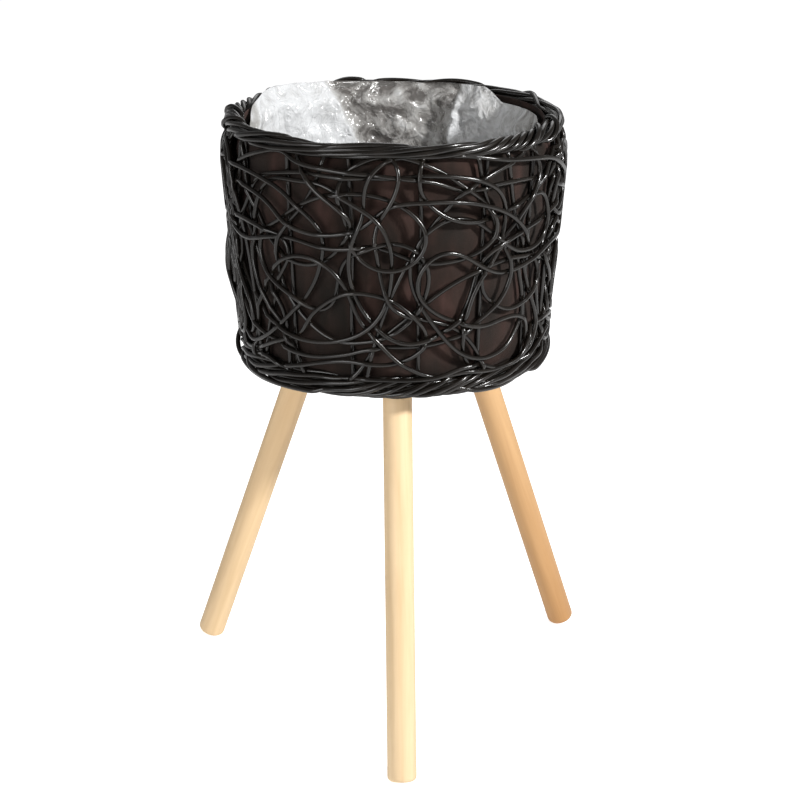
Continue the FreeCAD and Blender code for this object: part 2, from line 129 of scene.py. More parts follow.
# Front canes, traced one by one: a layer, from 0 inside to 2 outside, then places in the photograph
FRONT_CANES = {
    "left_rim_loop": (1, (270, 149), (262, 151), (252, 154), (245, 158), (239, 164), (236, 171), (235, 181),
        (234, 192), (234, 203), (231, 212)),
    "left_long_diagonal": (2, (223, 151), (230, 156), (238, 161), (247, 166), (256, 171), (266, 177),
        (276, 182), (284, 187), (292, 195), (300, 203), (308, 211), (313, 217), (320, 226)),
    "upper_run": (1, (280, 150), (287, 154), (295, 160), (302, 164), (312, 166), (325, 168), (340, 171),
        (357, 173), (375, 175), (392, 177), (412, 179), (428, 181), (440, 183), (448, 186), (457, 192)),
    "second_run": (0, (262, 173), (275, 173), (290, 172), (305, 172), (320, 174), (337, 176), (352, 178),
        (366, 178), (380, 179)),
    "third_run": (0, (280, 177), (290, 179), (302, 181), (316, 181)),
    "short_diagonal": (2, (309, 177), (314, 184), (320, 191), (326, 196), (332, 200), (338, 205),
        (345, 212)),
    "long_arch": (1, (287, 215), (293, 209), (300, 204), (311, 200), (322, 195), (334, 193), (348, 193),
        (362, 193), (372, 195), (383, 198), (392, 201), (402, 206), (410, 212), (418, 218), (424, 225)),
    "left_sweep": (1, (247, 180), (254, 186), (261, 191), (268, 196), (275, 203), (281, 211), (285, 218),
        (292, 224), (300, 228), (310, 232), (320, 234), (334, 234), (346, 233), (356, 231)),
    "loop_left": (2, (394, 159), (388, 160), (381, 163), (375, 168), (370, 174), (366, 182), (365, 191),
        (364, 200), (365, 209), (364, 218), (360, 227), (355, 236), (352, 246), (350, 258)),
    "loop_right": (2, (386, 151), (391, 155), (396, 161), (400, 168), (400, 176), (398, 185), (395, 194),
        (391, 203), (386, 210), (381, 217), (377, 224), (374, 232)),
    "centre_diagonal": (2, (346, 198), (352, 202), (358, 205), (364, 208), (371, 213), (377, 218),
        (382, 224), (386, 231), (389, 238), (391, 246), (392, 256)),
    "bright_hook": (2, (423, 153), (421, 163), (418, 173), (416, 183), (418, 190), (422, 197), (427, 204),
        (433, 209), (440, 214), (448, 218), (458, 221), (468, 222), (479, 221), (488, 218)),
    "upper_fall": (1, (400, 158), (412, 161), (424, 164), (434, 168), (444, 173), (452, 178), (460, 184),
        (468, 190), (474, 194), (482, 201)),
    "right_brow": (2, (398, 203), (410, 202), (424, 201), (440, 200), (455, 200), (467, 201), (479, 203),
        (490, 206), (500, 210), (507, 214), (514, 221), (520, 230), (523, 240), (527, 247)),
    "rising_diagonal": (1, (434, 224), (441, 215), (448, 207), (454, 198), (461, 190), (468, 186),
        (476, 181), (484, 177), (492, 172), (500, 167), (508, 163), (516, 160)),
    "under_rim_run": (2, (404, 158), (425, 158), (445, 157), (462, 157), (476, 157), (488, 158), (500, 159),
        (512, 159), (524, 158), (534, 157), (542, 156), (549, 158), (553, 163), (556, 171), (556, 182)),
    "right_shoulder": (2, (424, 176), (436, 175), (448, 175), (460, 176), (470, 177), (479, 179),
        (488, 183), (495, 189), (500, 196), (503, 204), (503, 214), (501, 226), (499, 236)),
    "right_branch": (1, (484, 187), (493, 184), (502, 182), (512, 180), (522, 179), (532, 178), (542, 176)),
    "right_fall": (2, (528, 138), (531, 145), (534, 151), (537, 159), (538, 167), (536, 176), (532, 184),
        (528, 191), (524, 198), (520, 207), (516, 216), (510, 226)),
    "right_fall_twin": (1, (547, 158), (545, 165), (542, 173), (539, 180), (535, 187), (531, 195),
        (528, 203), (525, 211), (521, 220)),
    "right_climb": (1, (500, 216), (506, 210), (514, 204), (521, 199), (528, 194), (536, 187)),
    "left_knot_fall": (1, (296, 214), (291, 220), (286, 228), (283, 236), (281, 245), (279, 254)),
    "left_short_fall": (1, (243, 212), (250, 216), (258, 220), (266, 225), (274, 230), (281, 235),
        (288, 241)),
    "left_cup": (2, (237, 210), (238, 218), (242, 226), (247, 233), (253, 237), (261, 237), (270, 235),
        (280, 235)),
    "left_long_fall": (1, (259, 204), (259, 216), (259, 228), (257, 240), (256, 250), (258, 262),
        (261, 274), (265, 285), (269, 294), (273, 304), (278, 314), (283, 323), (288, 333)),
    "left_twin_outer": (2, (262, 242), (264, 252), (267, 261), (271, 269), (275, 276), (281, 282),
        (288, 288), (295, 294), (302, 299), (309, 304), (316, 311)),
    "left_twin_inner": (1, (259, 252), (262, 262), (266, 270), (270, 278), (274, 285), (278, 292),
        (282, 299), (285, 307), (286, 315)),
    "middle_run": (2, (291, 236), (300, 239), (309, 242), (318, 245), (327, 247), (338, 248), (350, 247),
        (362, 246)),
    "left_arch": (2, (279, 265), (283, 260), (288, 256), (295, 254), (304, 253), (312, 255), (320, 258),
        (328, 263), (335, 269), (340, 276), (344, 283), (348, 290)),
    "centre_left_fall": (1, (356, 222), (353, 231), (347, 239), (341, 247), (334, 255), (326, 261),
        (316, 265), (305, 265), (296, 262), (288, 257)),
    "long_left_return": (2, (323, 262), (321, 270), (318, 279), (313, 288), (307, 297), (300, 306),
        (292, 314), (285, 322), (278, 329), (270, 335), (262, 339), (254, 338)),
    "left_inner_fall": (0, (290, 256), (287, 264), (284, 272), (281, 280)),
    "left_side_fall": (1, (237, 254), (238, 264), (241, 275), (244, 286), (248, 297), (252, 307),
        (257, 318), (263, 327), (269, 334), (277, 339)),
    "left_side_inner": (0, (236, 258), (236, 268), (234, 280), (232, 292), (233, 303), (237, 312),
        (243, 318), (250, 322)),
    "left_side_upper": (1, (246, 214), (243, 224), (241, 236), (241, 248), (243, 258)),
    "stake_companion": (1, (338, 190), (340, 199), (343, 210), (345, 221), (348, 231), (352, 240)),
    "centre_brow": (2, (354, 254), (361, 250), (368, 247), (376, 245), (384, 243), (392, 242), (400, 242),
        (408, 244), (416, 248)),
    "centre_smile": (2, (350, 243), (353, 249), (357, 254), (362, 260), (368, 265), (375, 268), (382, 270),
        (390, 271), (398, 270), (406, 267), (413, 263), (419, 257), (423, 250), (425, 243), (426, 235),
        (425, 226)),
    "centre_climb": (1, (412, 254), (416, 245), (421, 237), (428, 229), (436, 223), (446, 219), (456, 217)),
    "centre_fall": (2, (374, 238), (376, 249), (378, 259), (379, 269), (381, 279), (384, 289), (387, 299),
        (390, 308)),
    "centre_inner_fall": (0, (345, 258), (341, 268), (338, 277), (337, 287), (338, 297)),
    "stake_loop_left": (2, (414, 290), (415, 281), (418, 271), (424, 262), (431, 255), (439, 251),
        (449, 250), (457, 252), (464, 255), (472, 261), (478, 265), (486, 270)),
    "stake_loop_right": (1, (423, 258), (427, 265), (429, 273), (429, 282), (427, 291), (424, 299),
        (420, 307)),
    "lower_diagonal": (2, (352, 290), (362, 292), (372, 293), (382, 296), (391, 299), (400, 304),
        (408, 311), (415, 317), (421, 324), (426, 331), (430, 339)),
    "right_bowl": (1, (488, 208), (492, 216), (494, 224), (493, 232), (489, 240), (483, 246), (476, 252),
        (468, 257), (459, 260), (449, 262), (439, 264)),
    "right_rise": (2, (494, 243), (502, 239), (509, 235), (516, 231), (523, 227), (531, 223), (539, 217),
        (545, 209)),
    "right_scoop": (2, (541, 207), (541, 217), (540, 225), (538, 233), (534, 240), (529, 245), (523, 248),
        (514, 250), (507, 248), (501, 243)),
    "right_side_fall": (1, (549, 216), (546, 225), (542, 234), (538, 243), (537, 251), (538, 258),
        (541, 265), (544, 274), (545, 284)),
    "right_side_outer": (2, (558, 215), (555, 225), (550, 233), (545, 238), (540, 243), (534, 250)),
    "right_middle_run": (1, (478, 269), (489, 264), (497, 261), (505, 258), (511, 256), (518, 255),
        (526, 254), (533, 255), (539, 258)),
    "right_long_fall": (2, (503, 250), (506, 258), (507, 267), (506, 276), (504, 284), (501, 292),
        (496, 300), (490, 308), (484, 314), (477, 320)),
    "right_inner_fall": (1, (495, 246), (491, 254), (487, 262), (482, 271), (480, 281), (481, 291),
        (485, 300)),
    "right_stake_twin": (2, (481, 272), (476, 281), (472, 289), (469, 297), (466, 306), (464, 315),
        (462, 324), (460, 333), (460, 344)),
    "right_vee": (2, (535, 258), (536, 268), (535, 277), (532, 285), (528, 291), (523, 297), (515, 305),
        (507, 311), (499, 308), (491, 301)),
    "right_inner_stem": (0, (518, 268), (519, 277), (521, 287), (522, 297), (522, 308), (521, 318)),
    "lower_left_hook": (2, (340, 294), (333, 298), (326, 303), (319, 308), (314, 313), (310, 320),
        (308, 328)),
    "lower_left_smile": (2, (281, 324), (288, 330), (295, 334), (303, 338), (312, 340), (323, 341),
        (334, 341), (344, 339), (353, 337), (361, 334), (368, 329), (374, 324), (380, 317), (384, 310),
        (387, 301)),
    "lower_left_smile_twin": (1, (308, 321), (314, 327), (320, 332), (327, 337), (334, 341), (342, 343),
        (352, 343), (362, 342), (376, 340)),
    "lower_run": (1, (285, 343), (292, 348), (299, 351), (307, 354), (316, 356), (326, 356), (336, 355),
        (346, 354), (356, 353)),
    "lowest_run": (2, (286, 365), (295, 364), (306, 364), (316, 362), (327, 361), (338, 360), (348, 359),
        (356, 360), (363, 362), (372, 364), (382, 365), (392, 365), (400, 363), (408, 360), (416, 355),
        (424, 348)),
    "lower_left_wave": (1, (243, 338), (249, 344), (257, 347), (265, 346), (272, 343), (279, 340),
        (286, 338)),
    "foot_left_run": (2, (250, 348), (256, 356), (262, 362), (269, 367), (277, 371), (286, 375)),
    "foot_left_arch": (2, (260, 352), (268, 352), (274, 355), (279, 361), (284, 368), (290, 374),
        (296, 379)),
    "bright_smile": (2, (417, 296), (423, 304), (429, 309), (436, 314), (444, 318), (453, 321), (464, 324),
        (474, 326), (483, 325), (492, 321), (500, 317), (509, 314), (518, 313)),
    "lower_long_fall": (2, (364, 330), (371, 333), (377, 338), (382, 344), (386, 350), (391, 356),
        (397, 360), (404, 366), (411, 370), (419, 373), (427, 377)),
    "lower_smile": (2, (368, 318), (376, 327), (383, 333), (391, 339), (400, 343), (410, 344), (420, 342),
        (430, 339), (438, 334), (446, 329), (453, 324), (460, 317)),
    "lower_inner_climb": (0, (376, 344), (384, 337), (392, 331), (400, 324), (408, 318), (416, 312),
        (424, 305)),
    "lower_smile_twin": (1, (364, 347), (374, 348), (386, 347), (400, 347), (413, 347), (425, 346),
        (436, 344), (446, 340), (455, 337), (464, 334)),
    "lower_short_run": (1, (412, 317), (421, 319), (431, 321), (441, 323), (450, 326)),
    "lower_inner_fall": (0, (352, 302), (356, 312), (359, 321), (363, 330)),
    "foot_hook": (1, (345, 383), (352, 379), (358, 373), (363, 367), (368, 359)),
    "right_lower_smile": (2, (430, 321), (437, 330), (443, 338), (450, 346), (457, 352), (465, 356),
        (474, 358), (483, 357), (492, 354), (500, 350), (506, 345), (511, 337), (514, 328)),
    "foot_long_run": (1, (366, 379), (380, 380), (395, 381), (410, 381), (424, 380), (434, 378), (444, 374),
        (453, 369), (461, 366), (470, 364)),
    "foot_right_run": (1, (462, 371), (470, 369), (477, 370), (485, 371), (493, 370), (501, 366),
        (509, 363), (515, 358)),
    "foot_right_stem": (0, (462, 352), (465, 360), (469, 369)),
    "right_edge_fall": (1, (545, 310), (540, 314), (533, 319), (528, 326), (525, 335), (523, 345)),
    "right_edge_sweep": (1, (530, 300), (532, 312), (531, 325), (528, 338), (523, 350), (516, 360),
        (508, 367)),
    "right_edge_sweep_twin": (1, (543, 322), (538, 332), (533, 342), (527, 352), (519, 361)),
    "right_edge_low": (1, (546, 336), (543, 346), (538, 354), (530, 362)),
    "left_edge_low": (1, (236, 312), (238, 325), (239, 338), (241, 350), (246, 360)),
    "left_edge_inner": (0, (241, 318), (246, 330), (247, 342), (244, 354)),
    "left_outline": (2, (226, 146), (219, 158), (217, 170), (219, 184), (224, 197), (231, 207), (238, 213)),
    "left_outline_inner": (1, (229, 158), (226, 170), (228, 182), (234, 192), (240, 202)),
    "left_waist": (1, (225, 214), (226, 226), (226, 240), (222, 252), (222, 264), (226, 276), (229, 290),
        (232, 302)),
    "right_outline": (1, (556, 142), (560, 155), (561, 170), (557, 184), (559, 197), (561, 208),
        (557, 222)),
}

# Canes that wander round the sides and the back: how tightly they bend, how long a bend lasts, how near
# an edge they turn away, and where between the rims they start
BACK_CANES = 21
BACK_CANE_LENGTH = 640.0 * MM
BACK_FIRST_BEARING = math.radians(-30)
BACK_LAST_BEARING = math.radians(210)
BACK_TIGHTEST = 15.0 * MM
BACK_TURN_LENGTH = 42.0 * MM
BACK_TURN_SHARES = (0.5, 1.6)
BACK_BENDS = (0.05, 0.62)
BACK_ROOM = 2.2 * BACK_TIGHTEST
BACK_GLANCE = 0.1
BACK_HEAD_ON = 0.05
BACK_SPRING = 0.22
BACK_LEVEL_SWING = 1.4
BACK_STARTS = (0.2, 0.8)

# Loose canes that swell the left outline: bearings in degrees, heights and stand-offs in millimetres
EDGE_CANES = (((182, 455, 0), (184, 432, 3.5), (185, 419, 5), (184, 405, 3), (183, 393, 1.5), (184, 372, 6),
               (185, 350, 9), (184, 330, 6), (183, 308, 1.5), (181, 289.5, 0)),
              ((174, 455, 0), (178, 430, 2.5), (185, 404, 4.5), (190, 378, 4), (186, 350, 7.5), (180, 327, 6),
               (175, 306, 2), (172, 289.5, 0)),
              ((195, 455, 0), (191, 428, 3), (185, 412, 6), (180, 388, 2.5), (181, 360, 8.5), (187, 338, 7),
               (191, 318, 2.5), (194, 289.5, 0)))

# Rims: canes twisted into a roll, whose winding radius changes with the bearing (degrees, millimetres)
RIM_CANE_DIAMETER = 3.7 * MM
RIM_STEPS = 520
RIM_PIECES = 4
TOP_WIND = ((-180, 4.9), (-140, 4.6), (-112, 3.5), (-92, 3.1), (-72, 3.3), (-48, 4.3), (-20, 4.8), (90, 4.7))
FOOT_WIND = ((-180, 6.2), (-150, 6.0), (-125, 5.5), (-60, 5.3), (-20, 5.5), (90, 5.5))
TOP_ROLL_DEPTH = 1.0
TOP_RIM_CANES = 6
TOP_RIM_SEED = 1.3
FOOT_ROLL_DEPTH = 1.2
FOOT_ROLL_RISE = -0.4 * MM
FOOT_RIM_CANES = 8
FOOT_RIM_SEED = 7.9
FOOT_FILL_CANES = 4
FOOT_FILL_SHARE = 0.5
FOOT_FILL_SEED = 4.1

# Unevenness of a roll: how quickly it changes round the ring, and by how many millimetres, or radians of slip
RIM_SWAY = (2.2, 0.4)
RIM_RISE = (2.6, 0.6)
RIM_PLAY = (6, 0.9)
RIM_MOST_PLAY = 0.5 * MM
RIM_SLIP = (4, 0.46)

# Loose canes over the rolls: first and last bearing, angle round the roll at the first, turns, and
# how far they stand proud in millimetres
LOOSE_STEPS = 60
LOOSE_EASE = 0.22
LOOSE_ROOT = 0.55
TOP_LOOSE_CANES = ((-47, -22, -125, 0.9, 2.2), (-30, -8, -100, 0.8, 2.4), (168, 186, -60, 0.75, 2.4),
                   (178, 204, -120, 0.8, 2.2), (-118, -78, 15, 0.42, 2.2), (98, 120, 20, 0.4, 2.6),
                   (50, 84, 10, 0.45, 2.0), (-160, -122, -40, 0.5, 1.6), (128, 158, -30, 0.6, 2.0),
                   (8, 44, 200, -0.6, 2.0))
FOOT_LOOSE_CANES = ((-190, -166, 95, -0.62, 3.6), (-182, -128, -35, -0.2, 3.4), (-168, -108, -10, -0.4, 2.4),
                    (-156, -112, -70, 0.1, 2.6), (-70, -16, -20, -0.35, 1.8), (-34, 10, -60, 0.3, 2.4),
                    (20, 80, -60, 0.5, 2.0), (90, 150, 0, -0.5, 2.0))

# Cloth lining: its slack between the stakes, its frayed lower hem, its waves (how quickly they change round
# the wall and up it, and their size), and how it is drawn inside the top roll (heights and radii)
LINING_THICKNESS = 0.4 * MM
LINING_COLUMNS = 360
LINING_ROWS = 44
LINING_LOW = 292.2 * MM
LINING_INSET = 1.7 * MM
LINING_SLACK = 1.5
LINING_SLACK_RISE = 16 * MM
LINING_TAUT = (440 * MM, 452 * MM)
LINING_FRAY = 7
LINING_FRAY_FROM = 0.22
LINING_FRAY_SCALE = 5
LINING_RISE_SCALE = 2.5
LINING_WAVES = ((9, 1, 0.9), (22, 3, 0.3))
LINING_DRAWN_IN = 436 * MM
LINING_HEM = ((447.0, 115.6), (451.0, 114.2), (454.0, 112.4), (457.0, 111.1), (460.0, 110.9))

# Film bag: its upper edge in the photograph from left to right, its height where that is hidden, and the
# radians over which it falls to that at the right and at the left
FILM_RADIUS = 110.0 * MM
FILM_EDGE_PIXELS = ((248, 116), (250, 106), (255, 98), (261, 91), (275, 84.5), (300, 81.5), (330, 80.5),
                    (345, 80), (360, 80.5), (400, 81), (430, 82), (455, 83), (475, 84.5), (488, 86),
                    (496, 93), (504, 101.5), (516, 105), (530, 108.5), (540, 116))
FILM_HIDDEN_EDGE = 438.0 * MM
FILM_EDGE_FALLS = (0.2, 0.08)
FILM_EDGE_RAGGED = 0.8
FILM_EDGE_SCALE = 7
FILM_COLUMNS = 440
FILM_ROWS = 92
FILM_FLOOR_ROWS = 14
FILM_THICKNESS = 0.2 * MM
FILM_FLOOR_LIFT = 0.8 * MM
FILM_FLOOR_INSET = 8 * MM
FILM_FLOOR_RIDGE = 3.5 * MM
FILM_FLOOR_MIDDLE = 0.5 * MM
FILM_FLOOR_WAVES = ((28, 2.2), (70, 1))
FILM_BEND = 14 * MM
FILM_WALL_GAP = 3.4 * MM
FILM_MOUTH = 0.9
FILM_MOUTH_CALM = 0.75

# Creases of the film: count round, slant and depth of its long folds, width and depth of its facets, how all
# of these wander (scale, size and start), and two folds that run down the far wall in the photograph
FILM_CREASES = ((4, 1.5, 3.5), (9, -5.0, 3.0), (13, 7.0, 2.4), (19, -12.0, 1.6))
FILM_FACETS = ((24.0, 6.5), (10.0, 2.6))
FILM_WANDER = ((1.6, 1.5, 0), (4.5, 0.5, 3))
FILM_FOLD_WANDER = 1.3
FILM_SLANT_WANDER = 0.05
FILM_FACET_WANDER = 5
# The white fold also marks where the painted light on the film's far wall ends
FILM_WHITE_FOLD = ((325, 85), (352, 140))
FILM_FLAP_FOLD = ((463, 84), (455, 137))
FILM_FOLD_DEPTH = 3.5 * MM
FILM_FOLD_REACH = 0.09

# How thickly the film lies, from 0 for single to 1 for white folds, its left part whitened also as painted
# light: at the hidden front, at the left and the right of the far wall, and in the clear middle, with less of
# it at the edge
FILM_FAR_WALL = (20, 180)
FILM_LAYERS_FRONT = 0.55
FILM_FOLDS_AND_LIGHT_LEFT = 0.95
FILM_LAYERS_RIGHT = 0.84
FILM_LAYERS_CLEAR = 0.30
FILM_EDGE_LOSS = 0.22
FILM_CLEAR_HEIGHTS = (448 * MM, 462 * MM)
FILM_LEFT_EASE = (-0.1, 0.03)
FILM_LEFT_END = (160, 180)
FILM_RIGHT_EASE = (-0.03, 0.012)
FILM_PATCHES = 0.14
FILM_PATCH_SCALES = (2.4, 22)
FILM_THINNEST = 0.05

# Legs: sizes shared with the CAD frame, and the line of a leg worked out from them
LEG_DIAMETER = 21.5 * MM
LEG_FOOT_EASE = 3.0 * MM
LEG_FOOT_ROUND = 3.65 * MM
LEG_TOP_ROUND = 1.0 * MM
LEG_SIDES = 56
FOOT_CIRCLE_RADIUS = 165.15 * MM
PLATE_RADIUS = 64.791 * MM
PLATE_SIDE = 42.0 * MM
PLATE_THICKNESS = 2.0 * MM
SEAT_DROP = 8.5 * MM
LEG_BEARINGS = (-88.0, 34.0, 155.0)
FOOT_END_RADIUS = LEG_DIAMETER / 2 - LEG_FOOT_EASE
LEG_REACH = FOOT_CIRCLE_RADIUS - PLATE_RADIUS
LEG_SPLAY = (math.atan2(LEG_REACH, WALL_BOTTOM)
             + math.asin(FOOT_END_RADIUS / math.hypot(LEG_REACH, WALL_BOTTOM)))
FOOT_CENTRE_RADIUS = FOOT_CIRCLE_RADIUS + FOOT_END_RADIUS * math.cos(LEG_SPLAY)
FOOT_END_HEIGHT = FOOT_END_RADIUS * math.sin(LEG_SPLAY)
LEG_LENGTH = (WALL_BOTTOM - SEAT_DROP - FOOT_END_HEIGHT) / math.cos(LEG_SPLAY)

# Painted shade of each leg at its foot and its top, one leg darker than another and the second darkest
# towards its foot, and how far apart the legs lie in the grain
LEG_PAINTED_SHADES = ((0.12, 0.16), (1.0, 0.66), (0.22, 0.3))
LEG_GRAIN_STEP = (0.31, 0.17, 0.8)

# Rounded edges of turned shapes
ROUND_STEPS = 4
ROUND_PROFILE = 0.5
ON_EDGE = 1e-5
FACES_UP = 0.99
SMOOTH_ANGLE = math.radians(40)

# Hanger bolts: a machine thread above the leg, a wood thread inside it
BOLT_EXPOSED = 15.0 * MM
BOLT_SUNK = 30.0 * MM
BOLT_HOLE_RADIUS = 3.62 * MM
BOLT_SIDES = 28
BOLT_STEP = 0.2 * MM
BOLT_END_EASE = 1.2 * MM
BOLT_END_LOSS = 0.9
BOLT_TIP_LENGTH = 9 * MM
BOLT_TIP_SHARE = 0.12
MACHINE_PITCH = 1.25 * MM
MACHINE_ROOT = 3.3 * MM
MACHINE_CREST = 3.95 * MM
WOOD_PITCH = 2.8 * MM
WOOD_ROOT = 2.4 * MM
WOOD_CREST = 3.45 * MM

# Screws of the leg plates
SCREW_SIDES = 24
SCREW_INSET = 6.5 * MM
SCREW_HEAD_RADIUS = 3.2 * MM
SCREW_HEAD_HEIGHT = 1.9 * MM
SCREW_DOME_SHARE = 0.75
SCREW_CROSS_LENGTH = 3.6 * MM
SCREW_CROSS_WIDTH = 0.8 * MM
SCREW_CROSS_DEPTH = 1.0 * MM

# Materials: pairs of a place on a colour ramp and a colour, and other values that they share
CANE_COLOURS = ((0.3, (0.0045, 0.0036, 0.0028)), (0.75, (0.012, 0.0095, 0.0075)))
CORE_COLOURS = ((0.3, (0.012, 0.012, 0.012)), (0.8, (0.03, 0.03, 0.029)))
LINING_COLOURS = ((0.30, (0.013, 0.010, 0.008)), (0.46, (0.022, 0.014, 0.011)),
                  (0.60, (0.034, 0.019, 0.015)), (0.78, (0.066, 0.034, 0.029)))
FILM_COLOURS = ((0.1, (0.41, 0.39, 0.37)), (0.55, (0.57, 0.56, 0.54)), (0.95, (0.77, 0.78, 0.79)))
# Dowel colours run from no painted shade at 0 to the deepest painted shade at 1
DOWEL_DEEP = ((0.0, (0.66, 0.485, 0.285)), (0.5, (0.60, 0.395, 0.205)), (1.0, (0.41, 0.212, 0.078)))
DOWEL_PALE = ((0.0, (0.77, 0.595, 0.375)), (0.5, (0.70, 0.485, 0.265)), (1.0, (0.48, 0.258, 0.102)))
BOARD_FACE = ((0.3, (0.46, 0.29, 0.15)), (0.7, (0.66, 0.47, 0.28)))
BOARD_EDGE = ((0.4, (0.30, 0.18, 0.09)), (0.6, (0.62, 0.43, 0.25)))
ZINC_COLOURS = ((0.3, (0.48, 0.49, 0.50)), (0.75, (0.66, 0.66, 0.64)))
FINE_BUMP = 0.3 * MM
PLY = 1.25 * MM

rng = random.Random(SEED)
noise.seed_set(SEED)


def polar(radius, bearing, height):
    return Vector((radius * math.cos(bearing), radius * math.sin(bearing), height))


def step_up(value, low, high):
    """A smooth step from 0 to 1 between two values."""
    t = min(max((value - low) / (high - low), 0), 1)
    return t * t * (3 - 2 * t)


def stake_radius(height):
    return FOOT_RING_RADIUS + (height - FOOT_RING_HEIGHT) * WALL_LEAN


def weave_radius(height):
    return stake_radius(height) + CANE_REST


def pixel_ray(pixel):
    """Direction from the camera through a place in the photograph."""
    across = (pixel[0] - IMAGE_SIZE / 2) / FOCAL_PIXELS
    above = (IMAGE_SIZE / 2 - pixel[1]) / FOCAL_PIXELS
    forward = Vector((0, math.cos(CAMERA_PITCH), -math.sin(CAMERA_PITCH)))
    up = Vector((0, math.sin(CAMERA_PITCH), math.cos(CAMERA_PITCH)))
    return (forward + up * above + Vector((1, 0, 0)) * across).normalized()


def ray_meets(pixel, start, lean, side):
    """Where the ray through a place in the photograph meets an upright cone, on its near side (-1) or its far
    side (1). The cone has the radius start at the camera's height, and widens by lean above that."""
    ray, eye = pixel_ray(pixel), CAMERA_PLACE
    slope = ray.z * lean
    a = ray.x ** 2 + ray.y ** 2 - slope ** 2
    b = eye.x * ray.x + eye.y * ray.y - start * slope
    c = eye.x ** 2 + eye.y ** 2 - start ** 2
    return eye + ray * ((-b + side * math.sqrt(max(b * b - a * c, 0))) / a)


def on_weave(pixel):
    """A place on the wall laid flat where the ray meets the weave: distance round, height, and how far
    outside the resting weave the ray passes where it misses it."""
    place = ray_meets(pixel, weave_radius(CAMERA_PLACE.z), WALL_LEAN, -1)
    bearing = math.atan2(place.y, place.x)
    if bearing > math.pi / 2:
        bearing -= FULL_TURN
    return bearing * TOP_RING_RADIUS, place.z, max(place.xy.length - weave_radius(place.z), 0)


def on_film(pixel):
    """Bearing and height where the ray meets the far side of the film's cylinder."""
    place = ray_meets(pixel, FILM_RADIUS, 0, 1)
    return math.atan2(place.y, place.x), place.z


def evened(points, step):
    """The same line with points left out that come less than a step after the last."""
    even, travelled = [points[0]], 0.0
    for here, there in zip(points, points[1:]):
        travelled += (there - here).xy.length
        if travelled >= step:
            even.append(there)
            travelled = 0.0
    return even


def smooth_line(points, step):
    """Points close together on a smooth curve through the corners of a flat line."""
    ends = [points[0] * 2 - points[1]] + points + [points[-1] * 2 - points[-2]]
    fine = []
    for before, here, there, after in zip(ends, ends[1:], ends[2:], ends[3:]):
        square = 2 * before - 5 * here + 4 * there - after
        cube = 3 * here - before - 3 * there + after
        count = max(2, int((there - here).xy.length / step * 2))
        for i in range(count):
            t = i / count
            fine.append(0.5 * (2 * here + (there - before) * t + square * t ** 2 + cube * t ** 3))
    fine.append(points[-1])
    return evened(fine, step)


def bridge(start, way, goal, goal_way):
    """Points of a cane that leaves one place and comes smoothly into another, behind its neighbours."""
    reach = (goal - start).xy.length
    way, goal_way = way * reach, goal_way * reach
    count = max(3, int(reach / CANE_STEP))
    points = []
    for i in range(1, count):
        t = i / count
        flat = (start.xy * (2 * t ** 3 - 3 * t ** 2 + 1) + way * (t ** 3 - 2 * t ** 2 + t)
                + goal.xy * (3 * t ** 2 - 2 * t ** 3) + goal_way * (t ** 3 - t ** 2))
        other = start.zw * (1 - t) + goal.zw * t
        points.append(Vector((*flat, other.x - LINK_DIP * 4 * t * (1 - t), other.y)))
    return points


def end_of(run, tail):
    """An end of a run, and the way in which it leaves there."""
    here, inner = (run[-1], run[-4]) if tail else (run[0], run[3])
    return here, (here - inner).xy.normalized()


def link_cost(run, tail, other, other_tail):
    """How far and how sharply a cane would bend from one end to another, or None where that is too much."""
    (here, way), (there, other_way) = end_of(run, tail), end_of(other, other_tail)
    gap = (there - here).xy
    if gap.length > LONGEST_LINK:
        return None
    aim = gap.normalized()
    bend = max(1 - way.dot(aim), 1 + other_way.dot(aim))
    return gap.length + bend * LONGEST_LINK if bend < SHARPEST_LINK else None


def joined(runs):
    """Runs carried on into one another where their ends point together, so that few ends are left."""
    ends = [(k, tail) for k in range(len(runs)) for tail in (False, True)]
    costs = []
    for i, (k, tail) in enumerate(ends):
        for other, other_tail in ends[i + 1:]:
            cost = link_cost(runs[k], tail, runs[other], other_tail) if other != k else None
            if cost is not None:
                costs.append((cost, (k, tail), (other, other_tail)))
    chain, partner = list(range(len(runs))), {}
    for _, one, other in sorted(costs):
        if one in partner or other in partner or chain[one[0]] == chain[other[0]]:
            continue
        partner[one], partner[other] = other, one
        old, new = chain[one[0]], chain[other[0]]
        chain = [new if c == old else c for c in chain]
    whole, used = [], set()
    for k, tail in ends:
        if (k, tail) in partner or k in used:
            continue
        line = []
        while True:
            used.add(k)
            line += runs[k][::-1] if tail else runs[k]
            if (k, not tail) not in partner:
                break
            here, way = end_of(line, True)
            k, tail = partner[(k, not tail)]
            there, back = end_of(runs[k], tail)
            line += bridge(here, way, there, -back)
        whole.append(line)
    return whole


def rooted(run):
    """A run carried on from both ends into the rim it heads for, or the nearer one where it runs level."""
    middle = (WALL_BOTTOM + WALL_TOP) / 2
    for _ in range(2):
        here, way = end_of(run, True)
        upward = way.y > LEVEL_WAY or (way.y > -LEVEL_WAY and here.y > middle)
        goal_height = ROOT_HIGH if upward else ROOT_LOW
        drop = abs(goal_height - here.y)
        goal = Vector((here.x + way.x * (ROOT_LEAD + ROOT_SLOPE * drop), goal_height, here.z, 0))
        goal_way = Vector((ROOT_SLANT * way.x, 1 if upward else -1)).normalized()
        run = run + bridge(here, way, goal, goal_way) + [goal]
        run.reverse()
    return run


def relaxed(run):
    """A line with its small kinks drawn out, as a springy cane would lie."""
    points = np.array([p[:] for p in evened(run, CANE_STEP)])
    for turns, part in ((RELAX_TURNS, slice(0, 2)), (RELAX_LIFT_TURNS, slice(3, 4))):
        for _ in range(turns):
            bow = points[2:, part] + points[:-2, part] - 2 * points[1:-1, part]
            points[1:-1, part] += RELAX_SHARE * bow
    return [Vector(p) for p in points]


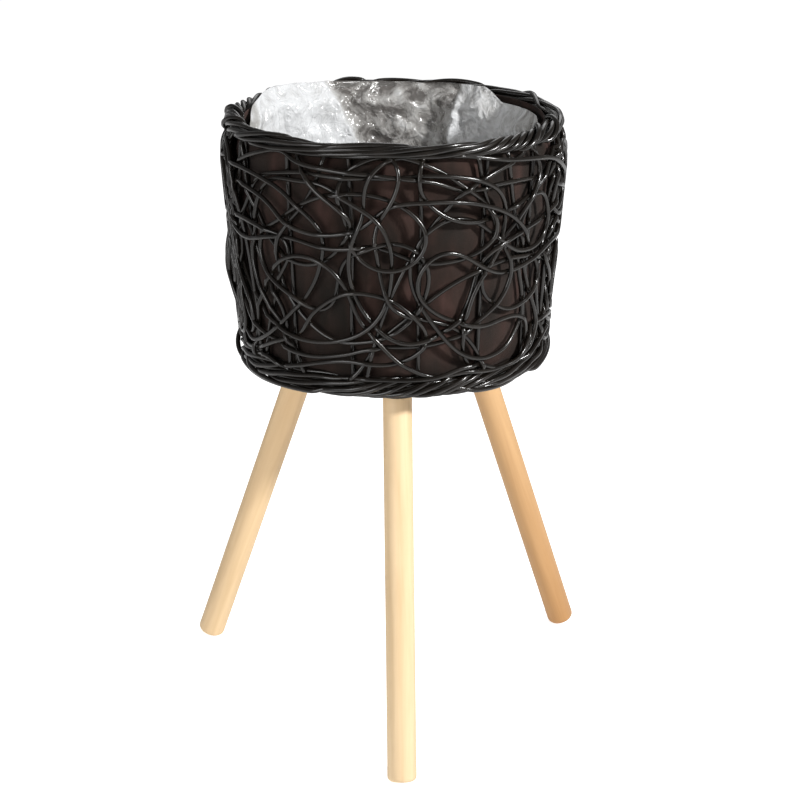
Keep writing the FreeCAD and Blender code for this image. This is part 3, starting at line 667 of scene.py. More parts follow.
def front_lines():
    """Canes of the front, through the traced places, linked and led into the rims."""
    runs = []
    for layer, *pixels in FRONT_CANES.values():
        corners = []
        for pixel in pixels:
            around, height, outside = on_weave(pixel)
            corners.append(Vector((around, height, layer, outside)))
        runs.append(smooth_line(corners, CANE_STEP))
    return [relaxed(rooted(run)) for run in joined(runs)]


def back_line(first_bearing, height, heading):
    """A cane that wanders in loops between the rims, round the sides and the back."""
    place = Vector((first_bearing * TOP_RING_RADIUS, height))
    limits = ((BACK_FIRST_BEARING * TOP_RING_RADIUS, BACK_LAST_BEARING * TOP_RING_RADIUS, BACK_ROOM),
              (WEAVE_LOW, WEAVE_HIGH, BACK_ROOM / 2))
    bend = wanted = rng.uniform(-1, 1) / BACK_TIGHTEST
    left, points = 0.0, []
    for i in range(int(BACK_CANE_LENGTH / CANE_STEP)):
        wave = noise.noise(Vector((i * CANE_STEP / BACK_TURN_LENGTH, first_bearing * 9, 0)))
        points.append(Vector((place.x, place.y, 1 + BACK_LEVEL_SWING * wave, 0)))
        left -= CANE_STEP
        if left < 0:
            left = BACK_TURN_LENGTH * rng.uniform(*BACK_TURN_SHARES)
            wanted = rng.choice((-1, 1)) * rng.uniform(*BACK_BENDS) / BACK_TIGHTEST
        turn = wanted
        ahead = (math.cos(heading), math.sin(heading))
        away = Vector((0, 0))
        for axis, (low, high, room) in enumerate(limits):
            if place[axis] > high - room and ahead[axis] > -BACK_GLANCE:
                away[axis] -= 1
            if place[axis] < low + room and ahead[axis] < BACK_GLANCE:
                away[axis] += 1
        if away.length > 0:
            side = ahead[0] * away.y - ahead[1] * away.x
            turn = math.copysign(1.0 / BACK_TIGHTEST, side if abs(side) > BACK_HEAD_ON else wanted)
        bend += (turn - bend) * BACK_SPRING
        heading += bend * CANE_STEP
        place = place + Vector((math.cos(heading), math.sin(heading))) * CANE_STEP
        place.y = min(max(place.y, WEAVE_LOW), WEAVE_HIGH)
    return points


def back_lines():
    lines = []
    for i in range(BACK_CANES):
        share = (i + 0.5) / BACK_CANES
        bearing = BACK_FIRST_BEARING + share * (BACK_LAST_BEARING - BACK_FIRST_BEARING)
        height = WEAVE_LOW + rng.uniform(*BACK_STARTS) * (WEAVE_HIGH - WEAVE_LOW)
        lines.append(relaxed(rooted(back_line(bearing, height, rng.uniform(0, FULL_TURN)))))
    return lines


def crossings(lines):
    """Groups of close pairs of points, one group for each place where two canes meet."""
    flat = [(p.x, p.y, 0) for line in lines for p in line]
    owner = [k for k, line in enumerate(lines) for _ in line]
    first = {k: owner.index(k) for k in range(len(lines))}
    tree = kdtree.KDTree(len(flat))
    for i, p in enumerate(flat):
        tree.insert(p, i)
    tree.balance()
    pairs = {}
    for i, p in enumerate(flat):
        for _, j, apart in tree.find_range(p, CANE_CLEAR):
            if j > i and (owner[i] != owner[j] or j - i > OWN_LOOP * CANE_CLEAR / CANE_STEP):
                meets = pairs.setdefault((owner[i], owner[j]), [])
                meets.append((i - first[owner[i]], j - first[owner[j]], apart))
    groups = []
    for (one, other), meets in pairs.items():
        meets.sort()
        last = None
        for i, j, apart in meets:
            if last is None or i - last[0] > CROSSING_STEPS[0] or abs(j - last[1]) > CROSSING_STEPS[1]:
                groups.append([])
            groups[-1].append((first[one] + i, first[other] + j, apart))
            last = (i, j)
    return groups


def settled(lines):
    """How far each point of each cane stands off its rest, so that crossing canes clear each other."""
    layer = [p.z for line in lines for p in line]
    heights, lifts = np.array(LIFT_PROFILE).T * MM
    most = np.interp([p.y for line in lines for p in line], heights, lifts)
    least = np.minimum([p.w for line in lines for p in line], most)
    over, under, need = [], [], []
    for group in crossings(lines):
        vote = sum(layer[i] - layer[j] for i, j, _ in group) / len(group)
        above = vote > 0 if abs(vote) > EVEN_VOTE else (group[0][0] + group[0][1]) % 2
        for i, j, apart in group:
            over.append(i if above else j)
            under.append(j if above else i)
            need.append(math.sqrt(CANE_CLEAR ** 2 - apart ** 2))
    over, under, need = np.array(over), np.array(under), np.array(need)
    lift = least.copy()
    ends = np.cumsum([len(line) for line in lines])[:-1]
    joint = np.ones(len(lift) - 1, dtype=bool)
    joint[ends - 1] = False
    for turn in range(SETTLE_TURNS):
        short = need - (lift[over] - lift[under])
        bad = short > 0
        up, down = np.zeros(len(lift)), np.zeros(len(lift))
        np.maximum.at(up, over[bad], short[bad] * RAISE_SHARE)
        np.maximum.at(down, under[bad], short[bad] * LOWER_SHARE)
        lift = np.clip(lift + up - down, least, most)
        if turn < SETTLE_TURNS - SETTLE_HARD_TURNS:
            for _ in range(SETTLE_SMOOTHINGS):
                bow = np.zeros(len(lift))
                step = np.where(joint, lift[1:] - lift[:-1], 0)
                bow[:-1] += step
                bow[1:] -= step
                lift += RELAX_SHARE * bow
            lift *= SETTLE_EASE
    return np.split(lift, ends)


def on_wall(point, lift):
    """The place of a cane: on the weave's cone, and drawn into the rolls of the rims at its ends."""
    height = point.y
    caught = max(step_up(height, WEAVE_HIGH, ROOT_HIGH), step_up(-height, -WEAVE_LOW, -ROOT_LOW))
    radius = weave_radius(height) + lift
    ring = stake_radius(height) + ROOT_SINK
    return polar(radius + (ring - radius) * caught, point.x / TOP_RING_RADIUS, height)


def edge_lines():
    """Loose canes that stand off the wall between the rims."""
    lines = []
    for stops in EDGE_CANES:
        corners = [Vector((math.radians(b) * TOP_RING_RADIUS, h * MM, off * MM)) for b, h, off in stops]
        lines.append([on_wall(p, p.z) for p in smooth_line(corners, CANE_STEP)])
    return lines


def top_twist(turn):
    """Turns of the top roll: slow round the back and left, quick at the right front."""
    return 3 * turn + step_up(turn, 0.82, 0.95) + step_up(turn, 0.38, 0.56)


def foot_twist(turn):
    """Turns of the foot roll, quickest at the front and at the back."""
    return 3 * turn + 0.5 * step_up(turn, 0.70, 0.86) + 0.5 * step_up(turn, 0.15, 0.45)


def wind_at(profile, bearing):
    """Winding radius of a roll at a bearing in radians."""
    bearings, sizes = zip(*profile)
    return float(np.interp(math.degrees(bearing), bearings, sizes, period=360)) * MM


def uneven(place, wave, start):
    """Noise at a place, for a wave of a scale and a size."""
    scale, size = wave
    return noise.noise(place * scale + Vector(start)) * size


def wave_at(place, around, upward, size):
    """Noise at a place on a round wall, for a wave of a scale round it, a scale up it, and a size."""
    return noise.noise(Vector((place.x * around, place.y * around, place.z * upward))) * size


def rim_lines(radius, height, profile, depth, canes, twist, seed, fill=1):
    """Canes of a roll, each wound round the ring with a little play; the roll may be deeper than it is wide,
    and a fill below 1 winds its inner canes."""
    lines = []
    for k in range(canes):
        line = []
        for i in range(RIM_STEPS):
            bearing = FULL_TURN * i / RIM_STEPS
            place = polar(1, bearing, 0)
            sway = uneven(place, RIM_SWAY, (seed, 0, 0)) * MM
            rise = uneven(place, RIM_RISE, (0, seed, 0)) * MM
            play = uneven(place, RIM_PLAY, (0, 0, seed + 3.7 * k)) * MM
            slip = uneven(place, RIM_SLIP, (seed, 2.9 * k, 0))
            wind = (wind_at(profile, bearing) + min(play, RIM_MOST_PLAY)) * fill
            angle = FULL_TURN * (twist(i / RIM_STEPS) + k / canes) + slip
            line.append(polar(radius + sway + wind * math.cos(angle), bearing,
                              height + rise + depth * wind * math.sin(angle)))
        lines.append(line)
    return lines


def loose_lines(radius, height, profile, depth, spans):
    """Canes that leave a roll, lie over it for a while and dive back into it."""
    lines = []
    for first, last, start, turns, lift in spans:
        line = []
        for i in range(LOOSE_STEPS + 1):
            share = i / LOOSE_STEPS
            bearing = math.radians(first + (last - first) * share)
            angle = math.radians(start) + FULL_TURN * turns * share
            proud = step_up(share, 0, LOOSE_EASE) * (1 - step_up(share, 1 - LOOSE_EASE, 1))
            wind = wind_at(profile, bearing) * (LOOSE_ROOT + (1 - LOOSE_ROOT) * proud) + lift * MM * proud
            line.append(polar(radius + wind * math.cos(angle), bearing,
                              height + depth * wind * math.sin(angle)))
        lines.append(line)
    return lines


def stake_lines():
    """Upright stakes from rim to rim, each drifting a little."""
    lines = []
    for k in range(STAKE_COUNT):
        bearing = STAKE_FIRST_BEARING + FULL_TURN * k / STAKE_COUNT
        line = []
        for i in range(STAKE_STEPS + 1):
            height = ROOT_LOW + (ROOT_HIGH - ROOT_LOW) * i / STAKE_STEPS
            drift = STAKE_DRIFT * noise.noise(Vector((k * 1.7, i * 0.16, 0)))
            line.append(polar(stake_radius(height), bearing + drift, height))
        lines.append(line)
    return lines


# Object helpers
def link(obj):
    bpy.context.scene.collection.objects.link(obj)
    return obj


def pick(obj):
    bpy.ops.object.select_all(action="DESELECT")
    obj.select_set(True)
    bpy.context.view_layer.objects.active = obj


def dressed(obj, material):
    obj.data.materials.clear()
    obj.data.materials.append(material)


def finished(obj, material, body, slot_name, *nodes):
    """A piece in its material, on its body, in place of the CAD solids it stands for; the slot name is not
    used.
    """
    dressed(obj, material)
    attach(obj, body)
    if nodes:
        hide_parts(*nodes)
    return obj


def cane_piece(name, lines, diameter, rings=0):
    """Round canes along their lines, as one mesh; the first of them may be closed rings."""
    curve = bpy.data.curves.new(name, "CURVE")
    curve.dimensions = "3D"
    curve.bevel_depth = diameter / 2
    curve.bevel_resolution = CANE_ROUNDNESS
    curve.use_fill_caps = True
    for k, line in enumerate(lines):
        spline = curve.splines.new("POLY")
        spline.points.add(len(line) - 1)
        for point, place in zip(spline.points, line):
            point.co = (*place, 1)
            bump = noise.noise(Vector(place) * CANE_UNEVEN_SCALE + Vector((k, 0, 0)))
            point.radius = 1 + CANE_UNEVEN * bump
        spline.use_cyclic_u = k < rings
        spline.use_smooth = True
    obj = link(bpy.data.objects.new(name, curve))
    pick(obj)
    bpy.ops.object.convert(target="MESH")
    return bpy.context.object


def grid_piece(name, rows, first_end=None, last_end=None):
    """A mesh of rings of equal count, joined row by row, with a UV map of turn and row, and closed at an end
    where its middle is given."""
    count = len(rows[0])
    mesh = bpy.data.meshes.new(name)
    shape = bmesh.new()
    rings = [[shape.verts.new(p) for p in row] for row in rows]
    layer = shape.loops.layers.uv.new("UVMap")
    for r, (near, far) in enumerate(zip(rings, rings[1:])):
        for i in range(count):
            j = (i + 1) % count
            face = shape.faces.new((near[i], near[j], far[j], far[i]))
            face.smooth = True
            corners = ((i, r), (i + 1, r), (i + 1, r + 1), (i, r + 1))
            for loop, (u, v) in zip(face.loops, corners):
                loop[layer].uv = (u / count, v / len(rows))
    for ring, end in ((rings[0][::-1], first_end), (rings[-1], last_end)):
        if end is not None:
            middle = shape.verts.new(end)
            for i in range(count):
                face = shape.faces.new((ring[i], ring[(i + 1) % count], middle))
                face.smooth = True
    shape.to_mesh(mesh)
    shape.free()
    return link(bpy.data.objects.new(name, mesh))


def thicken(obj, thickness, offset):
    pick(obj)
    wall = obj.modifiers.new("wall", "SOLIDIFY")
    wall.thickness = thickness
    wall.offset = offset
    bpy.ops.object.modifier_apply(modifier="wall")


def rod(name, sides, radius, low, high):
    """An upright cylinder between two heights."""
    bpy.ops.object.select_all(action="DESELECT")
    bpy.ops.mesh.primitive_cylinder_add(vertices=sides, radius=radius, depth=high - low,
                                        location=(0, 0, (low + high) / 2))
    obj = bpy.context.object
    obj.name = obj.data.name = name
    bpy.ops.object.transform_apply(location=True, rotation=True, scale=True)
    return obj


def rounded(obj, height, width):
    """Rounds the edges of a shape that lie at a height."""
    bpy.ops.object.mode_set(mode="EDIT")
    bpy.ops.mesh.select_all(action="DESELECT")
    shape = bmesh.from_edit_mesh(obj.data)
    for edge in shape.edges:
        edge.select_set(all(abs(v.co.z - height) < ON_EDGE for v in edge.verts))
    bmesh.update_edit_mesh(obj.data)
    bpy.ops.mesh.bevel(offset=width, segments=ROUND_STEPS, profile=ROUND_PROFILE)
    bpy.ops.object.mode_set(mode="OBJECT")


# Shader helpers
def feed(node, **values):
    """Gives a node's inputs sockets or plain values, and its other settings theirs."""
    for key, value in values.items():
        label = key.replace("_", " ")
        if label not in node.inputs:
            setattr(node, key, value)
        elif isinstance(value, bpy.types.NodeSocket):
            node.id_data.links.new(value, node.inputs[label])
        else:
            node.inputs[label].default_value = value


def add(tree, kind, **values):
    node = tree.nodes.new(kind)
    feed(node, **values)
    return node


def ramp(tree, source, *stops):
    """A colour ramp of (place, colour) stops, fed from a socket."""
    node = add(tree, "ShaderNodeValToRGB", Fac=source)
    band = node.color_ramp
    while len(band.elements) < len(stops):
        band.elements.new(0.5)
    for element, (place, colour) in zip(band.elements, stops):
        element.position = place
        element.color = (*colour, 1)
    return node.outputs["Color"]


def spread(tree, source, low, high):
    """A value from 0..1 mapped to a range."""
    return add(tree, "ShaderNodeMapRange", Value=source, To_Min=low, To_Max=high).outputs["Result"]


def worked(tree, operation, *terms):
    """A math node over sockets and plain numbers."""
    node = add(tree, "ShaderNodeMath", operation=operation)
    for socket, term in zip(node.inputs, terms):
        if isinstance(term, (int, float)):
            socket.default_value = term
        else:
            tree.links.new(term, socket)
    return node.outputs["Value"]


def mixed(tree, share, one, other):
    """Two colours, mixed by a share of the second."""
    return add(tree, "ShaderNodeMix", data_type="RGBA", Factor=share, A=one, B=other).outputs["Result"]


def bumped(tree, height, strength, distance):
    """The normal of a surface with a bump."""
    return add(tree, "ShaderNodeBump", Height=height, Strength=strength, Distance=distance).outputs["Normal"]


def drawn_out(tree, place, along):
    """A place with its height scaled, which draws a pattern out along Z."""
    node = add(tree, "ShaderNodeVectorMath", operation="MULTIPLY")
    tree.links.new(place, node.inputs[0])
    node.inputs[1].default_value = (1, 1, along)
    return node.outputs["Vector"]


def object_place(tree):
    return add(tree, "ShaderNodeTexCoord").outputs["Object"]


def carried(tree, name):
    """The outputs of a value that the points of a mesh carry."""
    return add(tree, "ShaderNodeAttribute", attribute_name=name).outputs


def fresh_material(name):
    material = bpy.data.materials.new(name)
    material.use_nodes = True
    tree = material.node_tree
    return material, tree, tree.nodes["Principled BSDF"]


def noise_group(name, along, *layers):
    """A shader node group of noises at one place, drawn out along Z. Each has a scale of its own, and is
    given as the name of its output, its detail and its distortion."""
    tree = bpy.data.node_groups.new(name, "ShaderNodeTree")
    sockets = tree.interface
    sockets.new_socket(name="Vector", in_out="INPUT", socket_type="NodeSocketVector")
    for label, _, _ in layers:
        sockets.new_socket(name=f"{label} Scale", in_out="INPUT", socket_type="NodeSocketFloat")
        sockets.new_socket(name=label, in_out="OUTPUT", socket_type="NodeSocketFloat")
    entry, result = tree.nodes.new("NodeGroupInput"), tree.nodes.new("NodeGroupOutput")
    place = drawn_out(tree, entry.outputs["Vector"], along)
    for label, detail, distortion in layers:
        texture = add(tree, "ShaderNodeTexNoise", Vector=place, Scale=entry.outputs[f"{label} Scale"],
                      Detail=detail, Distortion=distortion)
        tree.links.new(texture.outputs["Fac"], result.inputs[label])
    return tree


STREAKS = noise_group("surface_streaks", 1, ("Patches", 3.0, 0.0), ("Height", 2.0, 0.0))
GRAIN = noise_group("wood_grain", 0.06, ("Lines", 4.0, 0.6), ("Pores", 2.0, 0.0))


def placed_group(tree, group, place, *scales):
    """The outputs of a noise group at a place, with the scales of its noises."""
    node = add(tree, "ShaderNodeGroup", node_tree=group)
    tree.links.new(place, node.inputs["Vector"])
    for socket, scale in zip(node.inputs[1:], scales):
        socket.default_value = scale
    return node.outputs


def streaked_material(name, scales, colours, rough_by, roughness, bump, **settings):
    """A mottled surface with a fine bump."""
    material, tree, shader = fresh_material(name)
    streaks = placed_group(tree, STREAKS, object_place(tree), *scales)
    feed(shader, Base_Color=ramp(tree, streaks["Patches"], *colours),
         Roughness=spread(tree, streaks[rough_by], *roughness),
         Normal=bumped(tree, streaks["Height"], bump, FINE_BUMP), **settings)
    return material


def cane_material():
    return streaked_material("black_cane", (55.0, 900.0), CANE_COLOURS, "Patches", (0.13, 0.28), 0.12,
                             Specular_IOR_Level=0.42)


def core_material():
    return streaked_material("black_hoop_paint", (30.0, 500.0), CORE_COLOURS, "Height", (0.35, 0.6), 0.1)


def zinc_material(name, bright):
    colours = [(place, [bright * value for value in colour]) for place, colour in ZINC_COLOURS]
    return streaked_material(name, (120.0, 1500.0), colours, "Patches", (0.25, 0.5), 0.08, Metallic=1.0)


def lining_material():
    """Brown cloth with a fine plain weave, in uneven dye."""
    material, tree, shader = fresh_material("brown_lining_cloth")
    streaks = placed_group(tree, STREAKS, drawn_out(tree, object_place(tree), 0.35), 46.0, 1400.0)
    uv = add(tree, "ShaderNodeUVMap").outputs["UV"]
    warp, weft = (add(tree, "ShaderNodeTexWave", Vector=uv, Scale=330.0, bands_direction=way).outputs["Fac"]
                  for way in "XY")
    feed(shader, Base_Color=ramp(tree, streaks["Patches"], *LINING_COLOURS),
         Roughness=spread(tree, streaks["Height"], 0.75, 0.95),
         Normal=bumped(tree, worked(tree, "MAXIMUM", warp, weft), 0.5, 0.0004),
         Sheen_Weight=0.04, Specular_IOR_Level=0.15)
    return material


def film_material():
    """Crumpled clear film: see-through where it lies single, white where it lies in folds and where light is
    painted on it.
    """
    material, tree, shader = fresh_material("crumpled_film")
    place = object_place(tree)
    layers = carried(tree, "film_folds_and_light")["Fac"]
    streaks = placed_group(tree, STREAKS, place, 60.0, 240.0)
    creases = []
    for scale, twist in ((36.0, 1.6), (95.0, 2.2)):
        wave = add(tree, "ShaderNodeTexNoise", Vector=place, Scale=scale, Detail=2.5, Distortion=twist)
        creases.append(worked(tree, "SUBTRACT", wave.outputs["Fac"], 0.5))
    broad, fine = creases
    sharp = worked(tree, "MULTIPLY_ADD", worked(tree, "ABSOLUTE", fine), -16.0, 1.0)
    line = worked(tree, "MAXIMUM", sharp, 0.0)
    both = worked(tree, "MULTIPLY_ADD", fine, 0.9, worked(tree, "MULTIPLY", broad, 2.4))
    lined = worked(tree, "MULTIPLY_ADD", line, 0.16, both)
    shaded = worked(tree, "MULTIPLY", lined, worked(tree, "SUBTRACT", 1.3, layers))
    folds = worked(tree, "MULTIPLY_ADD", shaded, 0.75, layers)
    feed(shader, Base_Color=ramp(tree, folds, *FILM_COLOURS), Alpha=spread(tree, folds, 0.16, 0.97),
         Roughness=spread(tree, streaks["Patches"], 0.06, 0.22), Specular_IOR_Level=0.9,
         Normal=bumped(tree, worked(tree, "MULTIPLY_ADD", fine, 0.4, broad), 0.6, 0.008))
    return material


def dowel_material():
    """Smooth pale dowel wood, each leg with its own painted shade."""
    material, tree, shader = fresh_material("pale_dowel_wood")
    grain = placed_group(tree, GRAIN, carried(tree, "dowel_place")["Vector"], 150.0, 1500.0)
    # The painted shade that each leg carries picks its colours
    tone = carried(tree, "dowel_painted_shade")["Fac"]
    deep, pale = ramp(tree, tone, *DOWEL_DEEP), ramp(tree, tone, *DOWEL_PALE)
    feed(shader, Base_Color=mixed(tree, spread(tree, grain["Lines"], -0.6, 1.6), deep, pale),
         Roughness=spread(tree, grain["Pores"], 0.38, 0.6), Specular_IOR_Level=0.35,
         Normal=bumped(tree, grain["Pores"], 0.08, FINE_BUMP))
    return material


def board_material():
    """Plywood: a grained face, and bands of plies round the edge."""
    material, tree, shader = fresh_material("board_plywood")
    place = object_place(tree)
    lay = add(tree, "ShaderNodeMapping", Vector=place, Rotation=(0, math.pi / 2, 0.4)).outputs["Vector"]
    grain = placed_group(tree, GRAIN, lay, 60.0, 900.0)
    height = add(tree, "ShaderNodeSeparateXYZ", Vector=place).outputs["Z"]
    plies = worked(tree, "DIVIDE", worked(tree, "PINGPONG", height, PLY), PLY)
    facing = add(tree, "ShaderNodeNewGeometry").outputs["Normal"]
    upright = add(tree, "ShaderNodeSeparateXYZ", Vector=facing).outputs["Z"]
    feed(shader, Base_Color=mixed(tree, worked(tree, "ABSOLUTE", upright), ramp(tree, plies, *BOARD_EDGE),
                                  ramp(tree, grain["Lines"], *BOARD_FACE)),
         Roughness=spread(tree, grain["Pores"], 0.55, 0.8), Normal=bumped(tree, grain["Pores"], 0.15, 0.0005))
    return material


# Pieces
def lining_radius(height):
    """Outer radius of the cloth: just inside the stakes, then drawn in along the inside of the top roll."""
    hem_low, hem_radius = LINING_HEM[0][0] * MM, LINING_HEM[0][1] * MM
    if height < hem_low:
        inner = stake_radius(height) - LINING_INSET
        return inner + (hem_radius - inner) * step_up(height, LINING_DRAWN_IN, hem_low)
    for (low, here), (high, there) in zip(LINING_HEM, LINING_HEM[1:]):
        if height <= high * MM:
            return (here + (there - here) * (height / MM - low) / (high - low)) * MM
    return LINING_HEM[-1][1] * MM


def lining_piece():
    """Cloth drawn in behind each stake, with soft upright folds between."""
    hem_high = LINING_HEM[-1][0] * MM
    rows = []
    for r in range(LINING_ROWS + 1):
        height = LINING_LOW + (hem_high - LINING_LOW) * r / LINING_ROWS
        slack = step_up(height, BOARD_TOP, BOARD_TOP + LINING_SLACK_RISE)
        slack *= 1 - step_up(height, *LINING_TAUT)
        row = []
        for i in range(LINING_COLUMNS):
            bearing = FULL_TURN * i / LINING_COLUMNS
            swell = 0.5 - 0.5 * math.cos(STAKE_COUNT * (bearing - STAKE_FIRST_BEARING))
            place = polar(1, bearing, height * LINING_RISE_SCALE)
            fold, ripple = (wave_at(place, *wave) for wave in LINING_WAVES)
            bulge = swell * (0.9 + 0.6 * fold + ripple) * LINING_SLACK * MM * slack
            worn = noise.noise(Vector((place.x * LINING_FRAY_SCALE, place.y * LINING_FRAY_SCALE, 9)))
            fray = max(worn - LINING_FRAY_FROM, 0) * LINING_FRAY * MM
            fray *= 1 - step_up(height, LINING_LOW, BOARD_TOP)
            row.append(polar(lining_radius(height + fray) + bulge, bearing, height + fray))
        rows.append(row)
    obj = grid_piece("cloth_lining_sheet", rows)
    thicken(obj, LINING_THICKNESS, -1)
    return obj


def film_edge():
    """Height of the film's edge over each bearing, from the photograph where it shows."""
    bearings, heights = zip(*sorted(on_film(pixel) for pixel in FILM_EDGE_PIXELS))
    bearings = (bearings[0] - FILM_EDGE_FALLS[0], *bearings, bearings[-1] + FILM_EDGE_FALLS[1])
    heights = (FILM_HIDDEN_EDGE, *heights, FILM_HIDDEN_EDGE)

    def height(bearing):
        around = (bearing + math.pi / 2) % FULL_TURN - math.pi / 2
        ragged = noise.noise(polar(FILM_EDGE_SCALE, bearing, 2)) * FILM_EDGE_RAGGED * MM
        return float(np.interp(around, bearings, heights)) + ragged
    return height


def past_fold(pixels, bearing, height):
    """How far a place on the film lies to the left of a fold that runs down the far wall, in radians."""
    (upper, high), (lower, low) = (on_film(pixel) for pixel in pixels)
    along = upper + (height - high) * (lower - upper) / (low - high)
    return (bearing - along + math.pi) % FULL_TURN - math.pi


def crumple(bearing, height):
    """Depth of the film's creases in metres: long folds, flat facets between sharp edges, and two steps."""
    place = polar(1, bearing, height * 9)
    wander = Vector((0, 0, 0))
    for scale, size, start in FILM_WANDER:
        wander += noise.noise_vector(place * scale + Vector((start, 0, 0))) * size
    depth = 0.0
    for around, rising, size in FILM_CREASES:
        phase = around * bearing + rising * height * FULL_TURN
        phase += wander.x * FILM_FOLD_WANDER
        phase += wander.y * rising * FILM_SLANT_WANDER
        depth += size * MM * abs(2 * (phase / FULL_TURN % 1) - 1)
    for width, size in FILM_FACETS:
        spot = (polar(FILM_RADIUS, bearing, height) + wander * FILM_FACET_WANDER * MM) / (width * MM)
        depth += size * MM * noise.voronoi(spot)[0][0]
    for pixels, side in ((FILM_WHITE_FOLD, 1), (FILM_FLAP_FOLD, -1)):
        past = past_fold(pixels, bearing, height) * side
        if 0 < past < FILM_FOLD_REACH:
            depth += FILM_FOLD_DEPTH * (1 - past / FILM_FOLD_REACH)
    return depth


def film_folds_and_light(bearing, height):
    """How thickly the film lies: many folds at the left of the back, whitened there also as painted light, a
    clear middle, a double flap at the right."""
    degrees = math.degrees(bearing) % 360
    folds = FILM_LAYERS_FRONT
    if FILM_FAR_WALL[0] < degrees < FILM_FAR_WALL[1]:
        # Painted light: the film left of the white fold is whitened as well as folded
        left = step_up(past_fold(FILM_WHITE_FOLD, bearing, height), *FILM_LEFT_EASE)
        left *= 1 - step_up(degrees, *FILM_LEFT_END)
        right = step_up(-past_fold(FILM_FLAP_FOLD, bearing, height), *FILM_RIGHT_EASE)
        clear = FILM_LAYERS_CLEAR - FILM_EDGE_LOSS * step_up(height, *FILM_CLEAR_HEIGHTS)
        folds = clear + (FILM_FOLDS_AND_LIGHT_LEFT - clear) * left + (FILM_LAYERS_RIGHT - clear) * right
    around, upward = FILM_PATCH_SCALES
    patch = noise.noise(polar(around, bearing, height * upward)) * FILM_PATCHES
    return min(max(folds + patch, FILM_THINNEST), 1)


def film_piece():
    """A loose film bag standing in the basket, crumpled, with a ragged mouth."""
    floor = BOARD_TOP + FILM_FLOOR_LIFT
    floor_radius = stake_radius(BOARD_TOP) - FILM_FLOOR_INSET
    edge = film_edge()
    rows = []
    for r in range(1, FILM_FLOOR_ROWS + 1):
        share = r / FILM_FLOOR_ROWS
        row = []
        for i in range(FILM_COLUMNS):
            flat = polar(floor_radius * share, FULL_TURN * i / FILM_COLUMNS, 0)
            ridge = 1
            for scale, size in FILM_FLOOR_WAVES:
                ridge -= size * abs(noise.noise(flat * scale))
            row.append(flat + Vector((0, 0, floor + FILM_FLOOR_RIDGE * max(ridge, 0) * (1 - share ** 3))))
        rows.append(row)
    for r in range(1, FILM_ROWS + 1):
        row = []
        for i in range(FILM_COLUMNS):
            bearing = FULL_TURN * i / FILM_COLUMNS
            height = floor + (edge(bearing) - floor) * r / FILM_ROWS
            start = step_up(height, floor, floor + FILM_BEND)
            hold = 1 - FILM_MOUTH_CALM * step_up(r / FILM_ROWS, FILM_MOUTH, 1.0)
            widest = min(stake_radius(height) - FILM_WALL_GAP, FILM_RADIUS)
            inward = crumple(bearing, height) * start * hold
            row.append(polar(floor_radius + (widest - floor_radius) * start - inward, bearing, height))
        rows.append(row)
    obj = grid_piece("film_bag", rows, Vector((0, 0, floor + FILM_FLOOR_MIDDLE)))
    layers = obj.data.attributes.new("film_folds_and_light", "FLOAT", "POINT")
    for value, vertex in zip(layers.data, obj.data.vertices):
        value.value = film_folds_and_light(math.atan2(vertex.co.y, vertex.co.x), vertex.co.z)
    thicken(obj, FILM_THICKNESS, 0)
    return obj


def leg_frame(bearing):
    """Carries a shape drawn along +Z from the foot's end onto a leg's line."""
    turn = Matrix.Rotation(math.radians(bearing), 4, "Z")
    foot = Matrix.Translation((FOOT_CENTRE_RADIUS, 0, FOOT_END_HEIGHT))
    return turn @ foot @ Matrix.Rotation(-LEG_SPLAY, 4, "Y")


def leg_piece(index, bearing):
    """A dowel with a rounded foot, an eased top and a hole for its bolt, carrying its own grain."""
    obj = rod(f"dowel_leg_{index}", LEG_SIDES, LEG_DIAMETER / 2, 0, LEG_LENGTH)
    rounded(obj, 0, LEG_FOOT_ROUND)
    rounded(obj, LEG_LENGTH, LEG_TOP_ROUND)
    bpy.ops.object.mode_set(mode="EDIT")
    bpy.ops.mesh.select_mode(type="FACE")
    bpy.ops.mesh.select_all(action="DESELECT")
    shape = bmesh.from_edit_mesh(obj.data)
    for face in shape.faces:
        on_top = face.calc_center_median().z > LEG_LENGTH - LEG_TOP_ROUND / 2
        face.select_set(face.normal.z > FACES_UP and on_top)
    bmesh.update_edit_mesh(obj.data)
    bpy.ops.mesh.inset(thickness=LEG_DIAMETER / 2 - LEG_TOP_ROUND - BOLT_HOLE_RADIUS)
    bpy.ops.mesh.extrude_region_move(TRANSFORM_OT_translate={"value": (0, 0, -BOLT_SUNK)})
    bpy.ops.object.mode_set(mode="OBJECT")
    pick(obj)
    bpy.ops.object.shade_smooth_by_angle(angle=SMOOTH_ANGLE)
    obj.data.attributes.new("dowel_place", "FLOAT_VECTOR", "POINT")
    obj.data.attributes.new("dowel_painted_shade", "FLOAT", "POINT")
    own, tone = obj.data.attributes["dowel_place"], obj.data.attributes["dowel_painted_shade"]
    apart = Vector([index * step for step in LEG_GRAIN_STEP])
    # Painted shade of the leg, from its foot to its top
    foot_shade, top_shade = LEG_PAINTED_SHADES[index - 1]
    for value, shade, vertex in zip(own.data, tone.data, obj.data.vertices):
        value.vector = vertex.co + apart
        shade.value = foot_shade + (top_shade - foot_shade) * vertex.co.z / LEG_LENGTH
    obj.data.transform(leg_frame(bearing))
    return obj


